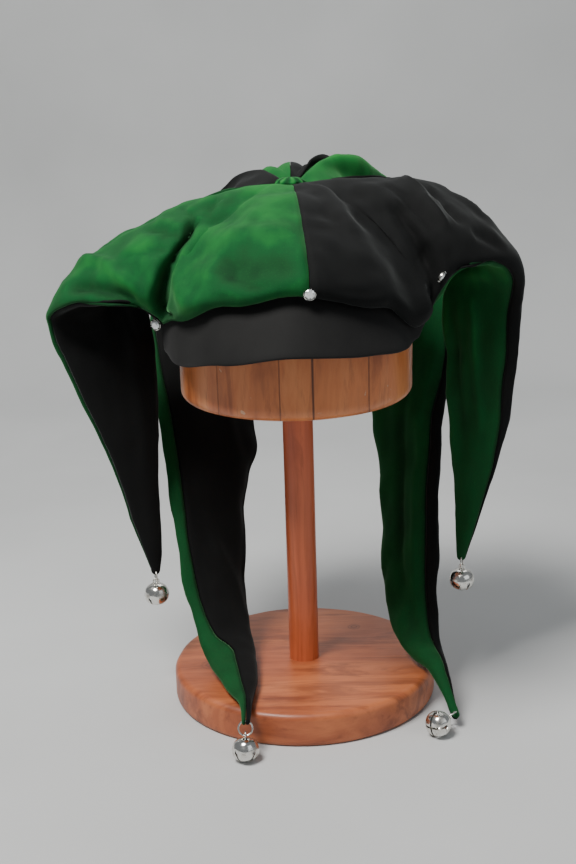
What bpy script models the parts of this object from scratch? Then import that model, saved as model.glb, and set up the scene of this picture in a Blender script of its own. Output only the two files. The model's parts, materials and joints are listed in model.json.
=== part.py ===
# Jester hat: six velvet panels sewn into a soft crown with four long belled horns,
# a stiff peak at the front, and the turned wooden stand that the hat sits on.
# Metres, +Z up, the peak towards -Y, the origin on the floor at the middle of the stand.
import math
from collections import namedtuple

import bmesh
import bpy
from mathutils import Matrix, Vector

for old in list(bpy.data.objects):
    bpy.data.objects.remove(old, do_unlink=True)

# Stand
BASE_RADIUS = 0.0973
BASE_HEIGHT = 0.024
BASE_EDGE = 0.004
POST_RADIUS = 0.011
POST_LENGTH = 0.204
SOCKET_DEPTH = 0.012
BLOCK_HALF_WIDTH = 0.0825
BLOCK_HALF_LENGTH = 0.092
BLOCK_SIDE = 0.076
BLOCK_CROWN = 0.056
BLOCK_EDGE = 0.008

# Hat
CLOTH = 0.0015
GAP = 0.0004
SEAM_GAP = 0.0010
HEAD_SLACK = 0.0145
BUTTON_HOLE = 0.003
FRONT_SEAM = 5.5
HORN_AZIMUTH_FRONT = 66.0
HORN_AZIMUTH_BACK = 145.0
VALLEY_WIDTH = 0.015
VALLEY_DEPTH = 0.06
FRONT_ROOT_ROWS = (2.0, 2.0)
BACK_ROOT_ROWS = (3.0, 3.0)
ROOT_LEAN = 0.7
CROWN_ROOM = 0.013
PEAK_REACH = 0.043
PEAK_THICKNESS = 0.0025
PEAK_TUCK = 0.006

# Trimmings
BELL_RADIUS = 0.0092
BELL_HEIGHT = 0.0162
BELL_WALL = 0.0008
BELL_SLOT = 0.0014
BELL_SIDES = 12
BELL_ROWS = 6
LOOP_RADIUS = 0.0021
LOOP_WIRE = 0.0005
LOOP_SUNK = 0.0004
LOOP_PLAY = -0.0006
FLOOR_GAP = 0.0001
RING_RADIUS = 0.0048
RING_WIRE = 0.0006
RING_BITE = 0.0032
STONE_RADIUS = 0.0029
STONE_CROWN = 0.0010
SETTING_WALL = 0.0007
SETTING_HEIGHT = 0.0014
SETTING_FLOOR = 0.0005

# What follows from those sizes
BLOCK_BOTTOM = BASE_HEIGHT + POST_LENGTH
BLOCK_TOP = BLOCK_BOTTOM + BLOCK_SIDE + BLOCK_CROWN
CROWN_HALF_WIDTH = BLOCK_HALF_WIDTH + HEAD_SLACK
CROWN_HALF_LENGTH = BLOCK_HALF_LENGTH + HEAD_SLACK
CROWN_TOP = BLOCK_TOP + CROWN_ROOM + CLOTH
SPAN = CROWN_TOP - BASE_HEIGHT
BELL_DROP = LOOP_RADIUS + BELL_HEIGHT / 2 - LOOP_SUNK
VALLEY_TURN = math.degrees(VALLEY_WIDTH / CROWN_HALF_WIDTH)

# The crown over each azimuth. Columns: azimuth in degrees (0 front, + to the right), the
# lower edge's height as a share of the height from the top of the base to the top of the
# crown, and the shoulder between the lower edge and the crown's middle: how far out and
# how far up it is, as shares of the way there.
CROWN = [
    (-180, 0.690, 0.72, 0.86), (-125, 0.705, 0.77, 0.78), (-95, 0.725, 0.80, 0.64),
    (-70, 0.745, 0.80, 0.61), (-52, 0.765, 0.80, 0.61), (-25, 0.803, 0.80, 0.61),
    (0, 0.823, 0.80, 0.61), (35, 0.790, 0.80, 0.61), (55, 0.738, 0.80, 0.63),
    (70, 0.745, 0.80, 0.63), (95, 0.745, 0.80, 0.64), (125, 0.716, 0.77, 0.78),
    (180, 0.690, 0.72, 0.86),
]

# Peak. Columns: azimuth in degrees, height of its upper edge as the rim's is given,
# width as a share of its reach, slope in degrees.
PEAK = [
    (-72, 0.757, 0.22, 84), (-64, 0.766, 0.55, 80), (-48, 0.790, 0.86, 72),
    (-25, 0.812, 0.96, 62), (0, 0.823, 0.96, 54), (25, 0.815, 0.92, 60),
    (46, 0.792, 0.72, 70), (58, 0.772, 0.46, 77), (66, 0.757, 0.20, 82),
]

# Peak's section. Columns: how far out, as a share of its width there, and its thickness.
PEAK_SECTION = [
    (0.0, PEAK_THICKNESS), (0.5, PEAK_THICKNESS), (0.9, PEAK_THICKNESS), (1.0, PEAK_THICKNESS * 0.4),
]

# Horns, one row for each section from the crown to the tip. The first three columns are
# the lower edge (to the right, to the back, up), the next three are the upper edge,
# the next two are how far the front and the back panel stand out from the line between
# them, and the last is how far the seams are rolled round from those edges, in degrees.
# Lengths to the right are shares of half the hat's width and lengths to the back are shares
# of half its length, or low down both are shares of the base's radius. The stand-outs are
# shares of the two's middle, and heights are shares of the way from the top of the base to
# the top of the crown.
FRONT_LEFT = [
    (-1.00, -0.45, 0.783, -0.43, -0.04, 0.994, 0.167, 0.147, 0),
    (-1.19, -0.54, 0.801, -0.80, 0.06, 0.957, 0.147, 0.138, 0),
    (-1.44, -0.44, 0.798, -1.11, 0.15, 0.912, 0.118, 0.118, 0),
    (-1.66, -0.30, 0.781, -1.28, 0.24, 0.860, 0.128, 0.098, 8),
    (-1.76, -0.19, 0.755, -1.21, 0.30, 0.803, 0.147, 0.088, 15),
    (-1.75, -0.15, 0.712, -1.09, 0.23, 0.741, 0.098, 0.079, 18),
    (-1.68, -0.12, 0.661, -1.04, 0.13, 0.667, 0.088, 0.079, 20),
    (-1.49, -0.08, 0.519, -1.05, 0.10, 0.501, 0.069, 0.069, 20),
    (-1.34, -0.04, 0.387, -1.07, 0.09, 0.353, 0.059, 0.059, 15),
    (-1.22, -0.01, 0.262, -1.07, 0.05, 0.254, 0.045, 0.045, 8),
    (-1.16, 0.01, 0.205, -1.08, 0.03, 0.202, 0.029, 0.029, 0),
]
FRONT_RIGHT = [
    (1.04, -0.47, 0.832, 0.46, 0.00, 1.006, 0.147, 0.138, 0),
    (1.20, -0.48, 0.852, 0.85, 0.21, 1.000, 0.147, 0.128, 0),
    (1.35, -0.40, 0.852, 1.07, 0.30, 0.963, 0.147, 0.118, 0),
    (1.49, -0.30, 0.838, 1.20, 0.36, 0.912, 0.147, 0.098, 10),
    (1.59, -0.21, 0.803, 1.18, 0.36, 0.849, 0.138, 0.088, 25),
    (1.62, -0.13, 0.758, 1.14, 0.31, 0.781, 0.128, 0.079, 38),
    (1.62, -0.09, 0.701, 1.13, 0.24, 0.701, 0.118, 0.079, 42),
    (1.60, -0.08, 0.627, 1.14, 0.21, 0.621, 0.108, 0.069, 42),
    (1.57, -0.06, 0.547, 1.15, 0.18, 0.536, 0.098, 0.069, 40),
    (1.52, -0.02, 0.462, 1.16, 0.14, 0.444, 0.079, 0.059, 32),
    (1.41, 0.00, 0.359, 1.18, 0.10, 0.353, 0.059, 0.050, 20),
    (1.30, 0.02, 0.251, 1.19, 0.07, 0.245, 0.042, 0.042, 5),
    (1.26, 0.03, 0.214, 1.19, 0.05, 0.214, 0.028, 0.028, 0),
]
BACK_LEFT = [
    (-0.64, 0.91, 0.701, -0.21, 0.26, 1.020, 0.118, 0.118, 0),
    (-0.70, 1.01, 0.689, -0.47, 0.56, 0.983, 0.138, 0.138, 0),
    (-0.73, 1.08, 0.675, -0.77, 0.85, 0.906, 0.128, 0.138, 0),
    (-0.72, 1.11, 0.655, -1.05, 0.93, 0.798, 0.118, 0.128, 8),
    (-0.66, 1.10, 0.624, -1.16, 0.91, 0.689, 0.098, 0.118, 18),
    (-0.53, 1.03, 0.575, -1.15, 0.77, 0.604, 0.079, 0.108, 30),
    (-0.35, 0.87, 0.490, -1.11, 0.56, 0.524, 0.069, 0.098, 38),
    (-0.34, 0.73, 0.407, -1.06, 0.38, 0.439, 0.069, 0.098, 40),
    (-0.40, 0.63, 0.348, -1.00, 0.21, 0.359, 0.069, 0.089, 40),
    (-0.45, 0.50, 0.245, -0.94, 0.06, 0.239, 0.071, 0.091, 40),
    (-0.44, 0.31, 0.142, -0.87, -0.04, 0.142, 0.072, 0.082, 42),
    (-0.41, 0.04, 0.063, -0.81, -0.18, 0.068, 0.082, 0.082, 60),
    (-0.37, -0.23, 0.031, -0.73, -0.33, 0.031, 0.082, 0.082, 95),
    (-0.35, -0.58, 0.020, -0.59, -0.62, 0.020, 0.062, 0.062, 92),
    (-0.38, -0.90, 0.017, -0.47, -0.92, 0.017, 0.041, 0.041, 90),
    (-0.39, -1.10, 0.004, -0.45, -1.10, 0.004, 0.029, 0.029, 90),
]
BACK_RIGHT = [
    (0.64, 0.91, 0.704, 0.16, 0.23, 1.034, 0.118, 0.118, 0),
    (0.71, 1.01, 0.695, 0.41, 0.46, 1.060, 0.177, 0.138, 0),
    (0.74, 1.09, 0.684, 0.72, 0.72, 1.009, 0.177, 0.138, 0),
    (0.75, 1.12, 0.667, 1.01, 0.86, 0.906, 0.138, 0.138, 0),
    (0.72, 1.11, 0.641, 1.20, 0.88, 0.792, 0.118, 0.128, 5),
    (0.67, 1.05, 0.598, 1.24, 0.81, 0.684, 0.088, 0.118, 15),
    (0.61, 0.94, 0.524, 1.22, 0.66, 0.587, 0.079, 0.108, 28),
    (0.62, 0.81, 0.439, 1.14, 0.49, 0.490, 0.079, 0.098, 38),
    (0.67, 0.72, 0.359, 1.08, 0.31, 0.370, 0.069, 0.089, 42),
    (0.68, 0.59, 0.251, 1.05, 0.16, 0.256, 0.071, 0.091, 44),
    (0.65, 0.39, 0.142, 1.03, 0.02, 0.148, 0.072, 0.082, 44),
    (0.67, 0.16, 0.063, 1.03, -0.10, 0.080, 0.082, 0.082, 44),
    (0.76, -0.14, 0.028, 1.04, -0.27, 0.037, 0.072, 0.072, 44),
    (0.88, -0.41, 0.023, 1.05, -0.47, 0.026, 0.057, 0.057, 40),
    (1.00, -0.64, -0.014, 1.08, -0.63, -0.009, 0.041, 0.041, 20),
    (1.05, -0.76, -0.044, 1.11, -0.74, -0.041, 0.029, 0.029, 0),
]

# How finely the cloth is divided: columns for each row of a horn near its root and beyond
# it, columns in the crown part of a panel, and steps across a panel between its edges.
ROOT_STEPS = 3
HORN_STEPS = 1.4
CROWN_STEPS = 5
ACROSS = 5
EASE_PASSES = 6
PEAK_STEPS = 18

# How a horn's end is rounded off. Columns: how far ahead and how wide, both as shares of
# half its width there.
TIP_ROUND = [(0.55, 0.85), (0.95, 0.45)]


def material(name, colour, roughness, metallic=0.0):
    made = bpy.data.materials.new(name)
    made.use_nodes = True
    shader = made.node_tree.nodes["Principled BSDF"]
    shader.inputs["Base Color"].default_value = (*colour, 1.0)
    shader.inputs["Roughness"].default_value = roughness
    shader.inputs["Metallic"].default_value = metallic
    return made


GREEN_VELVET = material("green_velvet", (0.012, 0.095, 0.030), 0.75)
BLACK_VELVET = material("black_velvet", (0.008, 0.009, 0.009), 0.75)
CHARCOAL_FELT = material("charcoal_felt", (0.022, 0.022, 0.022), 0.85)
BASE_WOOD = material("base_wood", (0.36, 0.13, 0.06), 0.45)
POST_WOOD = material("post_wood", (0.46, 0.13, 0.04), 0.50)
BLOCK_WOOD = material("block_wood", (0.50, 0.20, 0.08), 0.45)
NICKEL = material("nickel", (0.80, 0.79, 0.76), 0.22, 1.0)
CRYSTAL = material("crystal", (0.90, 0.90, 0.88), 0.08)


def finish(name, mesh, look, smooth_angle=40.0):
    """Make the bmesh an object with its material, shaded smooth between sharp edges."""
    bmesh.ops.recalc_face_normals(mesh, faces=mesh.faces)
    if mesh.calc_volume(signed=True) < 0:
        bmesh.ops.reverse_faces(mesh, faces=mesh.faces)
    data = bpy.data.meshes.new(name)
    mesh.to_mesh(data)
    mesh.free()
    data.shade_smooth()
    data.set_sharp_from_angle(angle=math.radians(smooth_angle))
    data.materials.append(look)
    made = bpy.data.objects.new(name, data)
    bpy.context.collection.objects.link(made)
    return made


def turned(profile, sides):
    """A turned solid. The profile runs from the axis to the axis, as (radius, height)."""
    mesh = bmesh.new()
    points = [mesh.verts.new((radius, 0.0, height)) for radius, height in profile]
    edges = [mesh.edges.new(pair) for pair in zip(points, points[1:])]
    bmesh.ops.spin(
        mesh, geom=points + edges, cent=(0, 0, 0), axis=(0, 0, 1),
        angle=math.tau, steps=sides, use_merge=True,
    )
    bmesh.ops.remove_doubles(mesh, verts=mesh.verts, dist=0.000001)
    return mesh


def cutter(name, mesh):
    """A shape that is only taken away from others."""
    shape = finish(name, mesh, NICKEL)
    shape.hide_render = True
    shape.display_type = "WIRE"
    return shape


def cut(target, shape):
    taken = target.modifiers.new("cut_" + shape.name, "BOOLEAN")
    taken.operation = "DIFFERENCE"
    taken.solver = "EXACT"
    taken.object = shape


# Stand: a turned round base, a dowel post in sockets, and an oval block with a domed top.
def make_stand():
    edge = [
        (BASE_RADIUS - BASE_EDGE * (1 - math.cos(turn)), BASE_EDGE * (1 - math.sin(turn)))
        for turn in (math.radians(90), math.radians(45), 0.0)
    ]
    lower = [(radius, height) for radius, height in edge]
    upper = [(radius, BASE_HEIGHT - height) for radius, height in reversed(edge)]
    socket = POST_RADIUS + GAP
    base = turned(
        [(0, 0), *lower, *upper, (socket, BASE_HEIGHT),
         (socket, BASE_HEIGHT - SOCKET_DEPTH), (0, BASE_HEIGHT - SOCKET_DEPTH)], 40,
    )
    finish("stand_base", base, BASE_WOOD)

    bottom = BASE_HEIGHT - SOCKET_DEPTH + GAP
    top = BLOCK_BOTTOM + SOCKET_DEPTH - GAP
    post = turned([(0, bottom), (POST_RADIUS, bottom), (POST_RADIUS, top), (0, top)], 24)
    finish("stand_post", post, POST_WOOD)

    profile = [(0.0, 0.0)]
    for turn in (90, 45, 0):
        angle = math.radians(turn)
        profile.append((1 - BLOCK_EDGE / BLOCK_HALF_WIDTH * (1 - math.cos(angle)),
                        BLOCK_EDGE * (1 - math.sin(angle))))
    for turn in (0, 30, 52, 72):
        angle = math.radians(turn)
        profile.append((math.cos(angle), BLOCK_SIDE + BLOCK_CROWN * math.sin(angle)))
    profile.append((0.0, BLOCK_SIDE + BLOCK_CROWN))
    block = turned(profile, 36)
    bmesh.ops.scale(block, verts=block.verts, vec=(BLOCK_HALF_WIDTH, BLOCK_HALF_LENGTH, 1.0))
    bmesh.ops.translate(block, verts=block.verts, vec=(0, 0, BLOCK_BOTTOM))
    body = finish("stand_block", block, BLOCK_WOOD)

    hole = bmesh.new()
    bmesh.ops.create_cone(
        hole, cap_ends=True, segments=24, radius1=socket, radius2=socket,
        depth=2 * SOCKET_DEPTH, matrix=Matrix.Translation((0, 0, BLOCK_BOTTOM)),
    )
    cut(body, cutter("block_socket", hole))


# Places on the hat
def smooth(value):
    value = min(max(value, 0.0), 1.0)
    return value * value * (3 - 2 * value)


def table_at(table, key):
    """The table's other columns at a key between two of its rows, eased."""
    for row, after in zip(table, table[1:]):
        if key <= after[0]:
            share = smooth((key - row[0]) / (after[0] - row[0]))
            return [a + (b - a) * share for a, b in zip(row[1:], after[1:])]
    return list(table[-1][1:])


def reach_at(up):
    """The lengths that shares to the right and to the back are taken of, at a height:
    half the base's width and length low down, half the hat's higher up."""
    blend = smooth((up - 0.10) / 0.35)
    return [BASE_RADIUS + (half - BASE_RADIUS) * blend
            for half in (CROWN_HALF_WIDTH, CROWN_HALF_LENGTH)]


def place(right, back, up):
    reach_right, reach_back = reach_at(up)
    return Vector((right * reach_right, back * reach_back, BASE_HEIGHT + up * SPAN))


def heading(azimuth):
    angle = math.radians(azimuth)
    return Vector((math.sin(angle), -math.cos(angle), 0.0))


def oval(azimuth, height, inset=0.0):
    """A point over the hat's oval lower edge, at a height."""
    way = heading(azimuth)
    return Vector((way.x * (CROWN_HALF_WIDTH - inset), way.y * (CROWN_HALF_LENGTH - inset), height))


def rim_height(azimuth):
    return BASE_HEIGHT + table_at(CROWN, azimuth)[0] * SPAN


def crown_section(azimuth, shoulder_azimuth, valley):
    """Lower edge, upper edge and stand-out of the crown over one azimuth."""
    _, out, up = table_at(CROWN, azimuth)
    low = oval(azimuth, rim_height(azimuth))
    high = Vector((0, 0, CROWN_TOP)) + heading(azimuth) * BUTTON_HOLE
    shoulder = oval(shoulder_azimuth, 0.0) * out * (1 - VALLEY_DEPTH * valley)
    shoulder.z = low.z + (CROWN_TOP - low.z) * up
    return low, high, shoulder - (low + high) / 2


def eased(rows, position):
    """Read every column of the rows at a position, smoothly and with no overshoot."""
    index = min(int(position), len(rows) - 2)
    share = position - index
    values = []
    for column in range(len(rows[0])):
        track = [row[column] for row in rows]
        steps = [b - a for a, b in zip(track, track[1:])]

        def slope(knot):
            if knot == 0 or knot == len(track) - 1:
                return steps[min(knot, len(steps) - 1)]
            before, after = steps[knot - 1], steps[knot]
            if before * after <= 0:
                return 0.0
            return 2 * before * after / (before + after)

        a, b = track[index], track[index + 1]
        u, v = share, 1 - share
        values.append(
            a * v * v * (1 + 2 * u) + b * u * u * (3 - 2 * u)
            + slope(index) * u * v * v - slope(index + 1) * u * u * v
        )
    return values


def horn_points(rows, azimuth):
    """The horn's rows as points, with its root on the crown as the first row."""
    low, high, _ = crown_section(azimuth, azimuth, 0.0)
    points = [(*low, *high, 0.0, 0.0, 0.0)]
    for row in rows:
        reach = sum(reach_at(row[2]) + reach_at(row[5])) / 4
        points.append((*place(*row[:3]), *place(*row[3:6]), row[6] * reach, row[7] * reach, row[8]))
    return points


def horn_edges(points, position):
    values = eased(points, position)
    return Vector(values[0:3]), Vector(values[3:6]), values[6:9]


# A column of a panel: its lower and upper edge, how far it stands out next to each and on
# the other side of them, how far its seams are rolled round, the ways in which they are
# kept clear of the next panel, whether it is solid, and whether the cloth is eased there.
Column = namedtuple("Column", "low high puffs other roll apart solid loose")


def panel_columns(rows, azimuth, turn, back):
    """Columns of one panel along one horn, from the root to the tip.

    turn is 1 or -1, the way the panel faces along the horn; back says whether the panel
    is the horn's back one.
    """
    points = horn_points(rows, azimuth)
    last = len(points) - 1
    root_rows = BACK_ROOT_ROWS if abs(azimuth) > 90 else FRONT_ROOT_ROWS
    columns = []
    close_rows = max(root_rows) + 4 / ROOT_STEPS
    near = round(close_rows * ROOT_STEPS)
    far = round((last - close_rows) * HORN_STEPS)
    for step in range(near + far + 1):
        position = step / ROOT_STEPS
        if step > near:
            position = close_rows + (last - close_rows) * (step - near) / far
        low, high, (front_out, back_out, roll) = horn_edges(points, position)
        before = horn_edges(points, max(position - 0.2, 0.0))
        after = horn_edges(points, min(position + 0.2, last))
        along = (after[0] + after[1]) - (before[0] + before[1])
        facing = along.cross(high - low).normalized() * turn
        own = facing * (back_out if back else front_out)
        other = -facing * (front_out if back else back_out)
        apart = [(later - earlier).cross(high - low).normalized() * turn
                 for earlier, later in zip(before[:2], after[:2])]
        puffs = [own, own]
        if position < max(root_rows):
            away = VALLEY_TURN if facing.dot(heading(azimuth + 90)) > 0 else -VALLEY_TURN
            root = crown_section(azimuth, azimuth + away, 1.0)[2]
            own = own * min(position, 1.0)
            puffs = []
            for side, rows_deep in zip(apart, root_rows):
                puff = own + root * (1 - smooth(position / rows_deep))
                lean = max(own.length * ROOT_LEAN - puff.dot(side), 0.0)
                puffs.append(puff + side * lean)
        roll = math.radians(roll if back else -roll)
        columns.append(Column(low, high, puffs, other, roll, apart, False, step < near))
    last = columns[-1]._replace(solid=True)
    onward = ((last.low + last.high) - (columns[-2].low + columns[-2].high)).normalized()
    middle = (last.low + last.high) / 2
    half = (last.high - last.low) / 2
    columns[-1] = last
    for ahead, narrow in TIP_ROUND:
        centre = middle + onward * half.length * ahead
        columns.append(last._replace(
            low=centre - half * narrow, high=centre + half * narrow,
            puffs=[puff * narrow for puff in last.puffs], other=last.other * narrow,
        ))
    return columns


def horn_end(rows, azimuth):
    """The middle of a horn's very end, the way it points, and the way across its seams."""
    points = horn_points(rows, azimuth)
    low, high, (front_out, _, roll) = horn_edges(points, len(points) - 1)
    before = horn_edges(points, len(points) - 1.5)
    onward = ((low + high) - (before[0] + before[1])).normalized()
    facing = onward.cross(high - low).normalized()
    half = (high - low) / 2
    across = (half.normalized() * -math.sin(math.radians(roll))
              + facing * math.cos(math.radians(roll))).normalized()
    end = (low + high) / 2 + onward * half.length * TIP_ROUND[-1][0]
    return end, onward, across


def crown_columns(start, end, shoulder_start, shoulder_end, start_valley, end_valley, facing):
    """Columns of the crown part of a panel, between two azimuths and without its ends.

    facing is the way that a seam at its start keeps it clear of the panel beyond; it has
    no length where the panel has a horn there too.
    """
    columns = []
    still = Vector((0, 0, 0))
    for step in range(1, CROWN_STEPS):
        share = step / CROWN_STEPS
        azimuth = start + (end - start) * share
        shoulder = shoulder_start + (shoulder_end - shoulder_start) * share
        valley = start_valley * (1 - share) ** 3 + end_valley * share ** 3
        low, high, own = crown_section(azimuth, shoulder, valley)
        clear = facing * (1 - share)
        columns.append(Column(low, high, [own, own], still, 0.0, [clear, clear], False,
                              facing.length == 0))
    return columns


def seam_column(azimuth, facing):
    low, high, own = crown_section(azimuth, azimuth, 0.0)
    still = Vector((0, 0, 0))
    return Column(low, high, [own, own], still, 0.0, [facing, facing * 1.4], False, False)


def inner_share(outer):
    """How much of an outer length is left inside the cloth."""
    return max(1 - CLOTH / outer.length, 0.3)


def section_point(column, share_turn, inner):
    """A point of a column's curve, from its lower edge at 0 to its upper edge at 1."""
    angle = math.pi * share_turn
    share = (1 - math.cos(angle)) / 2
    half = (column.high - column.low) / 2
    bulge = column.puffs[0].lerp(column.puffs[1], share)
    rolled = angle + column.roll
    if math.sin(rolled) < -0.000001:
        bulge = -column.other
    apart = column.apart[0].lerp(column.apart[1], share) * math.cos(column.roll)
    shift = (half.normalized() * math.sin(column.roll) + apart) * (SEAM_GAP / 2)
    if inner:
        bulge = bulge * inner_share(bulge)
        half = half * inner_share(half)
    middle = (column.low + column.high) / 2 + shift
    return middle + bulge * math.sin(rolled) - half * math.cos(rolled)


def cloth_normal(sections, index, step):
    """The cloth's direction across itself at a point of its outside."""
    before, after = sections[max(index - 1, 0)], sections[min(index + 1, len(sections) - 1)]
    along = after[step] - before[step]
    across = sections[index][step + 1] - sections[index][step - 1]
    return along.cross(across).normalized()


def eased_sections(columns, sections):
    """The cloth drawn smooth along the panel where it is loose, with its edges kept."""
    eased_rows = [sections[0]]
    for index in range(1, len(sections) - 1):
        before, here, after = sections[index - 1:index + 2]
        between = here[1:-1]
        if columns[index].loose:
            between = [(before[step] + here[step] * 2 + after[step]) / 4
                       for step in range(1, ACROSS)]
        eased_rows.append([here[0], *between, here[-1]])
    return eased_rows + [sections[-1]]


def panel_loops(columns, crown_index):
    """Closed sections: the outside from edge to edge, then the inside back again."""
    sections = [[section_point(column, step / ACROSS, False) for step in range(ACROSS + 1)]
                for column in columns]
    for _ in range(EASE_PASSES):
        sections = eased_sections(columns, sections)
    middle = ACROSS // 2
    outward = Vector((*sections[crown_index][middle].xy, 0))
    sense = 1 if cloth_normal(sections, crown_index, middle).dot(outward) > 0 else -1
    loops = []
    for index, (column, outside) in enumerate(zip(columns, sections)):
        first = section_point(column, 0, True)
        final = section_point(column, 1, True)
        inside = [first]
        for step in range(1, ACROSS):
            if column.solid:
                share = (1 - math.cos(math.pi * step / ACROSS)) / 2
                inside.append(first.lerp(final, share))
            else:
                inward = cloth_normal(sections, index, step) * -sense
                inside.append(outside[step] + inward * CLOTH)
        loops.append(outside + [final] + inside[:0:-1] + [first])
    return loops


def make_panel(name, columns, look, backward=0):
    """A panel from its columns. So many of the first ones run from a horn's tip to its root:
    patches are parted the same way along a horn in both of its panels.
    """
    mesh = bmesh.new()
    loops = [[mesh.verts.new(point) for point in loop]
             for loop in panel_loops(columns, backward + 1)]
    count = len(loops[0])
    for index, (loop, following) in enumerate(zip(loops, loops[1:])):
        if index < backward:
            loop, following = following, loop
        for corner in range(count):
            beside = (corner + 1) % count
            mesh.faces.new((loop[corner], loop[beside], following[beside]))
            mesh.faces.new((loop[corner], following[beside], following[corner]))
    for loop in (loops[0], loops[-1]):
        for corner in range(ACROSS):
            opposite = count - 1 - corner
            mesh.faces.new((loop[corner], loop[corner + 1], loop[opposite - 1], loop[opposite]))
    return finish(name, mesh, look, 60.0)


HORNS = {
    "front_left": (FRONT_LEFT, -HORN_AZIMUTH_FRONT),
    "front_right": (FRONT_RIGHT, HORN_AZIMUTH_FRONT),
    "back_left": (BACK_LEFT, -HORN_AZIMUTH_BACK),
    "back_right": (BACK_RIGHT, HORN_AZIMUTH_BACK),
}


def make_panels():
    """Six panels. Each runs from its own seam over the crown and out along its horns."""
    front, back = HORN_AZIMUTH_FRONT, HORN_AZIMUTH_BACK
    panels = {}
    for side, sign in (("left", -1), ("right", 1)):
        looks = (GREEN_VELVET, BLACK_VELVET) if side == "left" else (BLACK_VELVET, GREEN_VELVET)
        front_rows = HORNS["front_" + side][0]
        back_rows = HORNS["back_" + side][0]
        outward = Vector((sign, 0, 0))
        valley = VALLEY_TURN * sign

        horn = panel_columns(front_rows, front * sign, sign, False)
        crown = crown_columns(FRONT_SEAM, front * sign, FRONT_SEAM, front * sign - valley,
                              0, 1, outward)
        panels["front_" + side] = make_panel(
            "panel_front_" + side, [seam_column(FRONT_SEAM, outward)] + crown + horn, looks[0])

        ahead = panel_columns(front_rows, front * sign, -sign, True)
        crown = crown_columns(front * sign, back * sign, front * sign + valley,
                              back * sign - valley, 1, 1, outward * 0)
        behind = panel_columns(back_rows, back * sign, sign, False)
        panels["side_" + side] = make_panel(
            "panel_side_" + side, ahead[::-1] + crown + behind, looks[1], len(ahead))

        horn = panel_columns(back_rows, back * sign, -sign, True)
        crown = crown_columns(180 * sign, back * sign, 180 * sign, back * sign + valley,
                              0, 1, outward)
        panels["back_" + side] = make_panel(
            "panel_back_" + side, [seam_column(180 * sign, outward)] + crown + horn, looks[0])
    return panels


# Peak: a stiff crescent, tucked up inside the hat's lower edge and sloping out and down.
def make_peak():
    mesh = bmesh.new()
    loops = []
    start, end = PEAK[0][0], PEAK[-1][0]
    for step in range(PEAK_STEPS + 1):
        azimuth = start + (end - start) * step / PEAK_STEPS
        height, width, slope = table_at(PEAK, azimuth)
        slope = math.radians(slope)
        outward = heading(azimuth)
        along = outward * math.cos(slope) - Vector((0, 0, math.sin(slope)))
        under = outward * -math.sin(slope) - Vector((0, 0, math.cos(slope)))
        hinge_height = BASE_HEIGHT + height * SPAN
        below = max(hinge_height - rim_height(azimuth), 0.0) / math.tan(slope)
        inset = CLOTH + 2 * GAP + below
        hinge = oval(azimuth, hinge_height - GAP, inset)
        upper = [oval(azimuth, hinge_height + PEAK_TUCK, inset)]
        lower = [oval(azimuth, hinge_height + PEAK_TUCK, inset + PEAK_THICKNESS)]
        for share, thickness in PEAK_SECTION:
            point = hinge + along * PEAK_REACH * width * share
            upper.append(point)
            lower.append(point + under * thickness)
        loops.append([mesh.verts.new(point) for point in upper + lower[::-1]])
    count = len(loops[0])
    for loop, following in zip(loops, loops[1:]):
        for corner in range(count):
            beside = (corner + 1) % count
            mesh.faces.new((loop[corner], loop[beside], following[beside], following[corner]))
    for loop in (loops[0], loops[-1]):
        for corner in range(count // 2 - 1):
            opposite = count - 1 - corner
            mesh.faces.new((loop[corner], loop[corner + 1], loop[opposite - 1], loop[opposite]))
    finish("peak", mesh, CHARCOAL_FELT)


def frame(origin, forward, upward):
    """A matrix with its origin at a point, its Y along forward and its Z near upward."""
    right = forward.cross(upward).normalized()
    above = right.cross(forward).normalized()
    turn = Matrix((right, forward.normalized(), above)).transposed().to_4x4()
    return Matrix.Translation(origin) @ turn


def torus(radius, wire, around, section):
    """A ring about the Y axis."""
    mesh = bmesh.new()
    made = bmesh.ops.create_circle(
        mesh, cap_ends=False, segments=section, radius=wire,
        matrix=Matrix.Translation((radius, 0, 0)),
    )
    bmesh.ops.spin(
        mesh, geom=made["verts"] + mesh.edges[:], cent=(0, 0, 0), axis=(0, 1, 0),
        angle=math.tau, steps=around, use_merge=True,
    )
    bmesh.ops.remove_doubles(mesh, verts=mesh.verts, dist=0.000001)
    return mesh


def placed(mesh, matrix):
    bmesh.ops.transform(mesh, matrix=matrix, verts=mesh.verts)
    return mesh


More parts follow.
